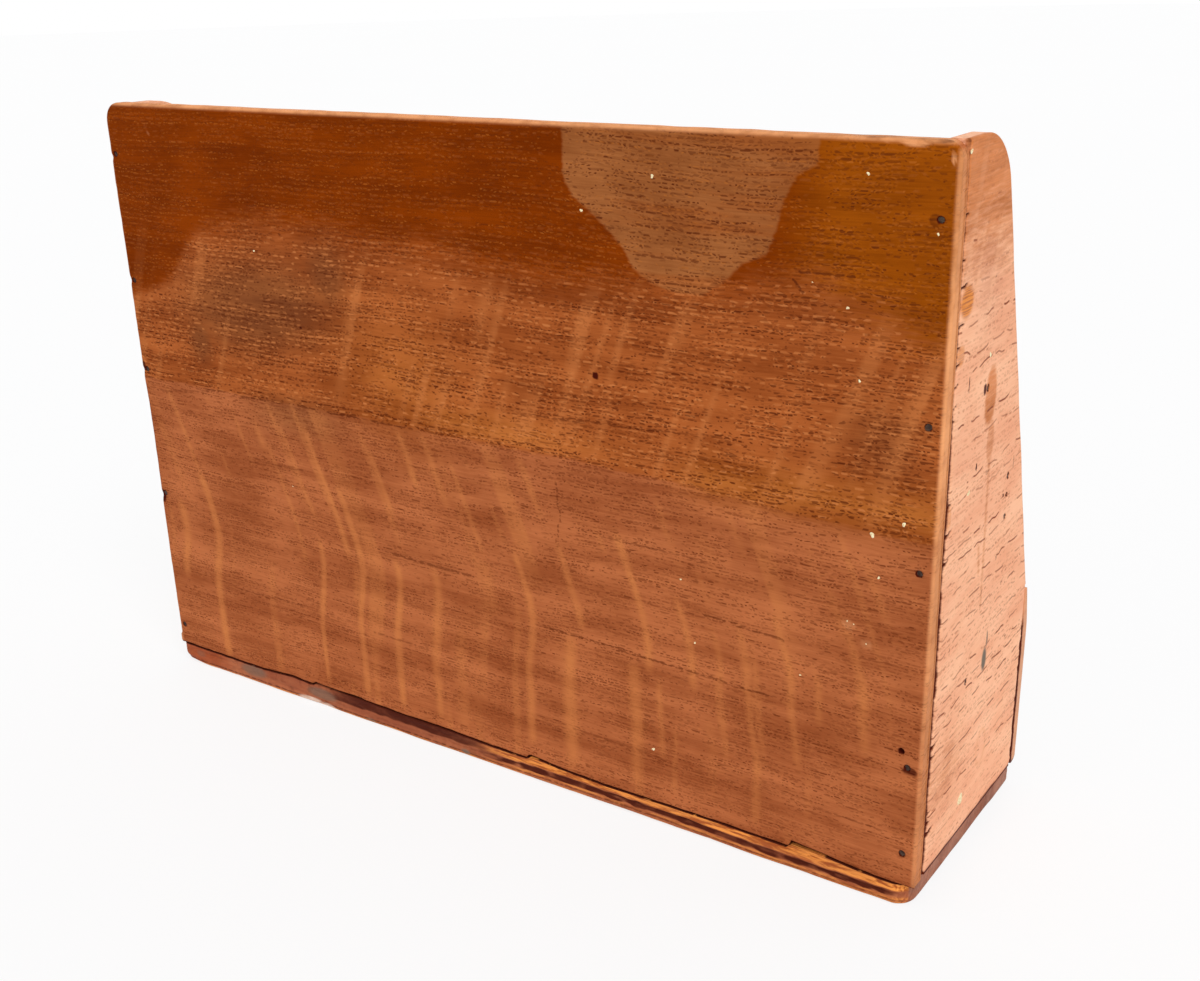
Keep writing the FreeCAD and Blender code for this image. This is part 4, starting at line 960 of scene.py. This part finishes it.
def speckMaterial():
    # cream, browned by a noise, with a chalky bump
    material, tree, shader = newMaterial("cream_paint", 0.7, 0.2)
    place = addNode(tree, "TexCoord").outputs["Object"]
    inMm = addNode(tree, "VectorMath", {0: place, 1: (1000, 1000, 1000)}, operation="MULTIPLY").outputs[0]
    fine = noiseOf(tree, inMm, 2.5, 3.0, 0.6)
    cream = blended(tree, between(tree, fine, 0.4, 0.75), paint(250, 240, 196), paint(214, 172, 116))
    tree.links.new(cream, shader.inputs["Base Color"])
    bump = addNode(tree, "Bump", {"Height": fine, "Distance": 0.0001, "Strength": 0.6})
    tree.links.new(bump.outputs[0], shader.inputs["Normal"])
    return material


def makeSpecks(material):
    # each speck is a flattened ball: radius uneven round its middle, height falling to nothing at its rim
    look = paintSpecks
    around, up = 14, 6
    angle = np.linspace(0, 2 * math.pi, around, endpoint=False)
    tilt = np.linspace(0, math.pi, up + 1)[1:-1]
    points, faces = [], []
    spots = [("back", *spot) for spot in look["back"]] + [("end", *spot) for spot in look["end"]]
    for number, (board, across, height, radius) in enumerate(spots):
        rng = np.random.default_rng(900 + number)
        outline = look["share"] * radius * (1 + 0.22 * np.sin(2 * angle + rng.uniform(0, 6)) + 0.14 * np.sin(3 * angle + rng.uniform(0, 6)))
        ringU = (outline[None, :] * np.sin(tilt)[:, None] * np.cos(angle)[None, :]).ravel()
        ringV = (outline[None, :] * np.sin(tilt)[:, None] * np.sin(angle)[None, :]).ravel() * (1.5 if radius > 1.5 else 1.0)
        ringW = np.repeat(np.cos(tilt) * look["thickness"], around)
        u = np.concatenate([[0], ringU, [0]]) + across
        v = np.concatenate([[0], ringV, [0]]) + height
        w = np.concatenate([[look["thickness"]], ringW, [-look["thickness"]]]) - 0.1
        start = sum(len(part) for part in points)
        if board == "back":
            points.append(np.stack([u, nodeBox("back_panel")[1][1] + w, v], axis=1))
        else:
            points.append(np.stack([nodeBox("left_end_board")[0][0] - w, u, v], axis=1))
        ring = np.arange(around)
        after = np.roll(ring, -1)
        for level in range(up - 2):
            first = start + 1 + level * around
            faces += np.stack([first + ring, first + after, first + around + after, first + around + ring], axis=1).tolist()
        last = start + 1 + (up - 2) * around
        bottom = start + 1 + (up - 1) * around
        faces += np.stack([np.full(around, start), start + 1 + after, start + 1 + ring], axis=1).tolist()
        faces += np.stack([np.full(around, bottom), last + ring, last + after], axis=1).tolist()
    mesh = bpy.data.meshes.new("paint_specks")
    mesh.from_pydata(np.concatenate(points) * mm, [], faces)
    specks = bpy.data.objects.new("paint_specks", mesh)
    bpy.context.scene.collection.objects.link(specks)
    work = bmesh.new()
    work.from_mesh(mesh)
    bmesh.ops.recalc_face_normals(work, faces=work.faces)
    work.to_mesh(mesh)
    work.free()
    mesh.polygons.foreach_set("use_smooth", [True] * len(mesh.polygons))
    mesh.materials.append(material)
    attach(specks, "root")
    return specks


# Floor, light and camera

stageLook = {
    "floorRadius": 6.0, "floorGlow": 0.8,
    "worldLight": 0.55,
    "sunFrom": (-0.47, 0.50, 0.73), "sunSize": 0.75, "sunStrength": 1.75,
}


def seenDirectly(tree):                   # 1 for camera, glossy and transmission rays, 0 for the light that falls on things
    rays = addNode(tree, "LightPath").outputs
    some = calc(tree, "ADD", rays["Is Camera Ray"], rays["Is Glossy Ray"])
    return calc(tree, "MINIMUM", calc(tree, "ADD", some, rays["Is Transmission Ray"]), 1.0)


def makeFloor():
    # a disc: rings of points at growing radii round its middle
    look = stageLook
    angle = np.linspace(0, 2 * math.pi, 64, endpoint=False)
    radii = look["floorRadius"] * np.linspace(0, 1, 9)[1:] ** 2
    ringX = (radii[:, None] * np.cos(angle)[None, :]).ravel()
    ringY = (radii[:, None] * np.sin(angle)[None, :]).ravel()
    points = np.stack([np.append(0, ringX), np.append(0, ringY), np.full(len(ringX) + 1, -0.00005)], axis=1)
    ring = np.arange(64)
    after = np.roll(ring, -1)
    faces = np.stack([np.zeros(64, int), 1 + ring, 1 + after], axis=1).tolist()
    for level in range(len(radii) - 1):
        first = 1 + level * 64
        faces += np.stack([first + ring, first + 64 + ring, first + 64 + after, first + after], axis=1).tolist()
    mesh = bpy.data.meshes.new("floor")
    mesh.from_pydata(points, [], faces)
    floor = bpy.data.objects.new("floor", mesh)
    bpy.context.scene.collection.objects.link(floor)
    material, tree, shader = newMaterial("white_table", 0.6, 0.2)
    place = addNode(tree, "TexCoord").outputs["Object"]
    haze = noiseOf(tree, place, 3.0, 2.0)
    white = blended(tree, haze, paint(250, 250, 251), paint(246, 247, 249))
    tree.links.new(white, shader.inputs["Base Color"])
    glow = addNode(tree, "Emission", {"Color": (1, 1, 1, 1), "Strength": 1.0})
    share = calc(tree, "MULTIPLY", seenDirectly(tree), look["floorGlow"])
    mixed = addNode(tree, "MixShader", {0: share, 1: shader.outputs[0], 2: glow.outputs[0]})
    tree.links.new(mixed.outputs[0], tree.nodes["Material Output"].inputs["Surface"])
    mesh.materials.append(material)


def makeWorld():
    world = bpy.data.worlds.new("white_room")
    bpy.context.scene.world = world
    world.use_nodes = True
    tree = world.node_tree
    strength = between(tree, seenDirectly(tree), 0.0, 1.0, stageLook["worldLight"], 1.0)
    tree.nodes["Background"].inputs["Color"].default_value = (1, 1, 1, 1)
    tree.links.new(strength, tree.nodes["Background"].inputs["Strength"])


def addSun():                             # a wide soft sun, so that floor and boards are lit evenly
    look = stageLook
    light = bpy.data.lights.new("sun", "SUN")
    light.angle = look["sunSize"]
    light.energy = look["sunStrength"]
    lamp = bpy.data.objects.new("sun", light)
    bpy.context.scene.collection.objects.link(lamp)
    lamp.rotation_euler = Vector(look["sunFrom"]).to_track_quat("Z", "Y").to_euler()


cameraLook = {
    "place": (-0.22842, 0.30420, 0.20950), "forward": (0.52988, -0.76279, -0.37065), "roll": 1.6,
    "sensor": 36.0, "lens": 42.975,
    "axisBelowMiddle": 42.8, "frameWidth": 1200,     # pixels of the 1200 by 981 frame
}


def makeCamera():
    look = cameraLook
    camera = bpy.data.cameras.new("view")
    camera.sensor_width = look["sensor"]
    camera.lens = look["lens"]
    camera.shift_y = look["axisBelowMiddle"] / look["frameWidth"]
    camera.clip_start = 0.01
    holder = bpy.data.objects.new("view", camera)
    bpy.context.scene.collection.objects.link(holder)
    forward = Vector(look["forward"]).normalized()
    turn = Quaternion(forward, math.radians(look["roll"])) @ forward.to_track_quat("-Z", "Y")
    holder.rotation_mode = "QUATERNION"
    holder.rotation_quaternion = turn
    holder.location = look["place"]
    bpy.context.scene.camera = holder


oak = {name: oakMaterial(name) for name in oakFinishes}
steel = steelMaterial()
for pinNode in ("left_back_pins", "right_back_pins", "front_pins", "rear_divider_pins", "middle_divider_pins", "base_pins"):
    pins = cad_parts[pinNode]
    if not pins.material_slots:
        pins.data.materials.append(steel)
    for pinSlot in pins.material_slots:
        pinSlot.material = steel
print("materials made")

makeBackPanel(oak["back"])
print("back panel made")
makeBaseBoard(oak["base"])
print("base board made")
makeEndBoard("left_end_board", "left_upright", -1, oak["end"])
makeEndBoard("right_end_board", "right_upright", 1, oak["end"])
print("end boards made")
makeFrontPanel(oak["front"])
makeDivider("rear_divider", "rear_partition", 81, oak["divider"])
makeDivider("middle_divider", "middle_partition", 91, oak["divider"])
print("front panel and dividers made")
makeSpecks(speckMaterial())
makeFloor()
makeWorld()
addSun()
makeCamera()
view = bpy.context.scene.view_settings
view.view_transform = "Standard"
print("stage, light and camera made")
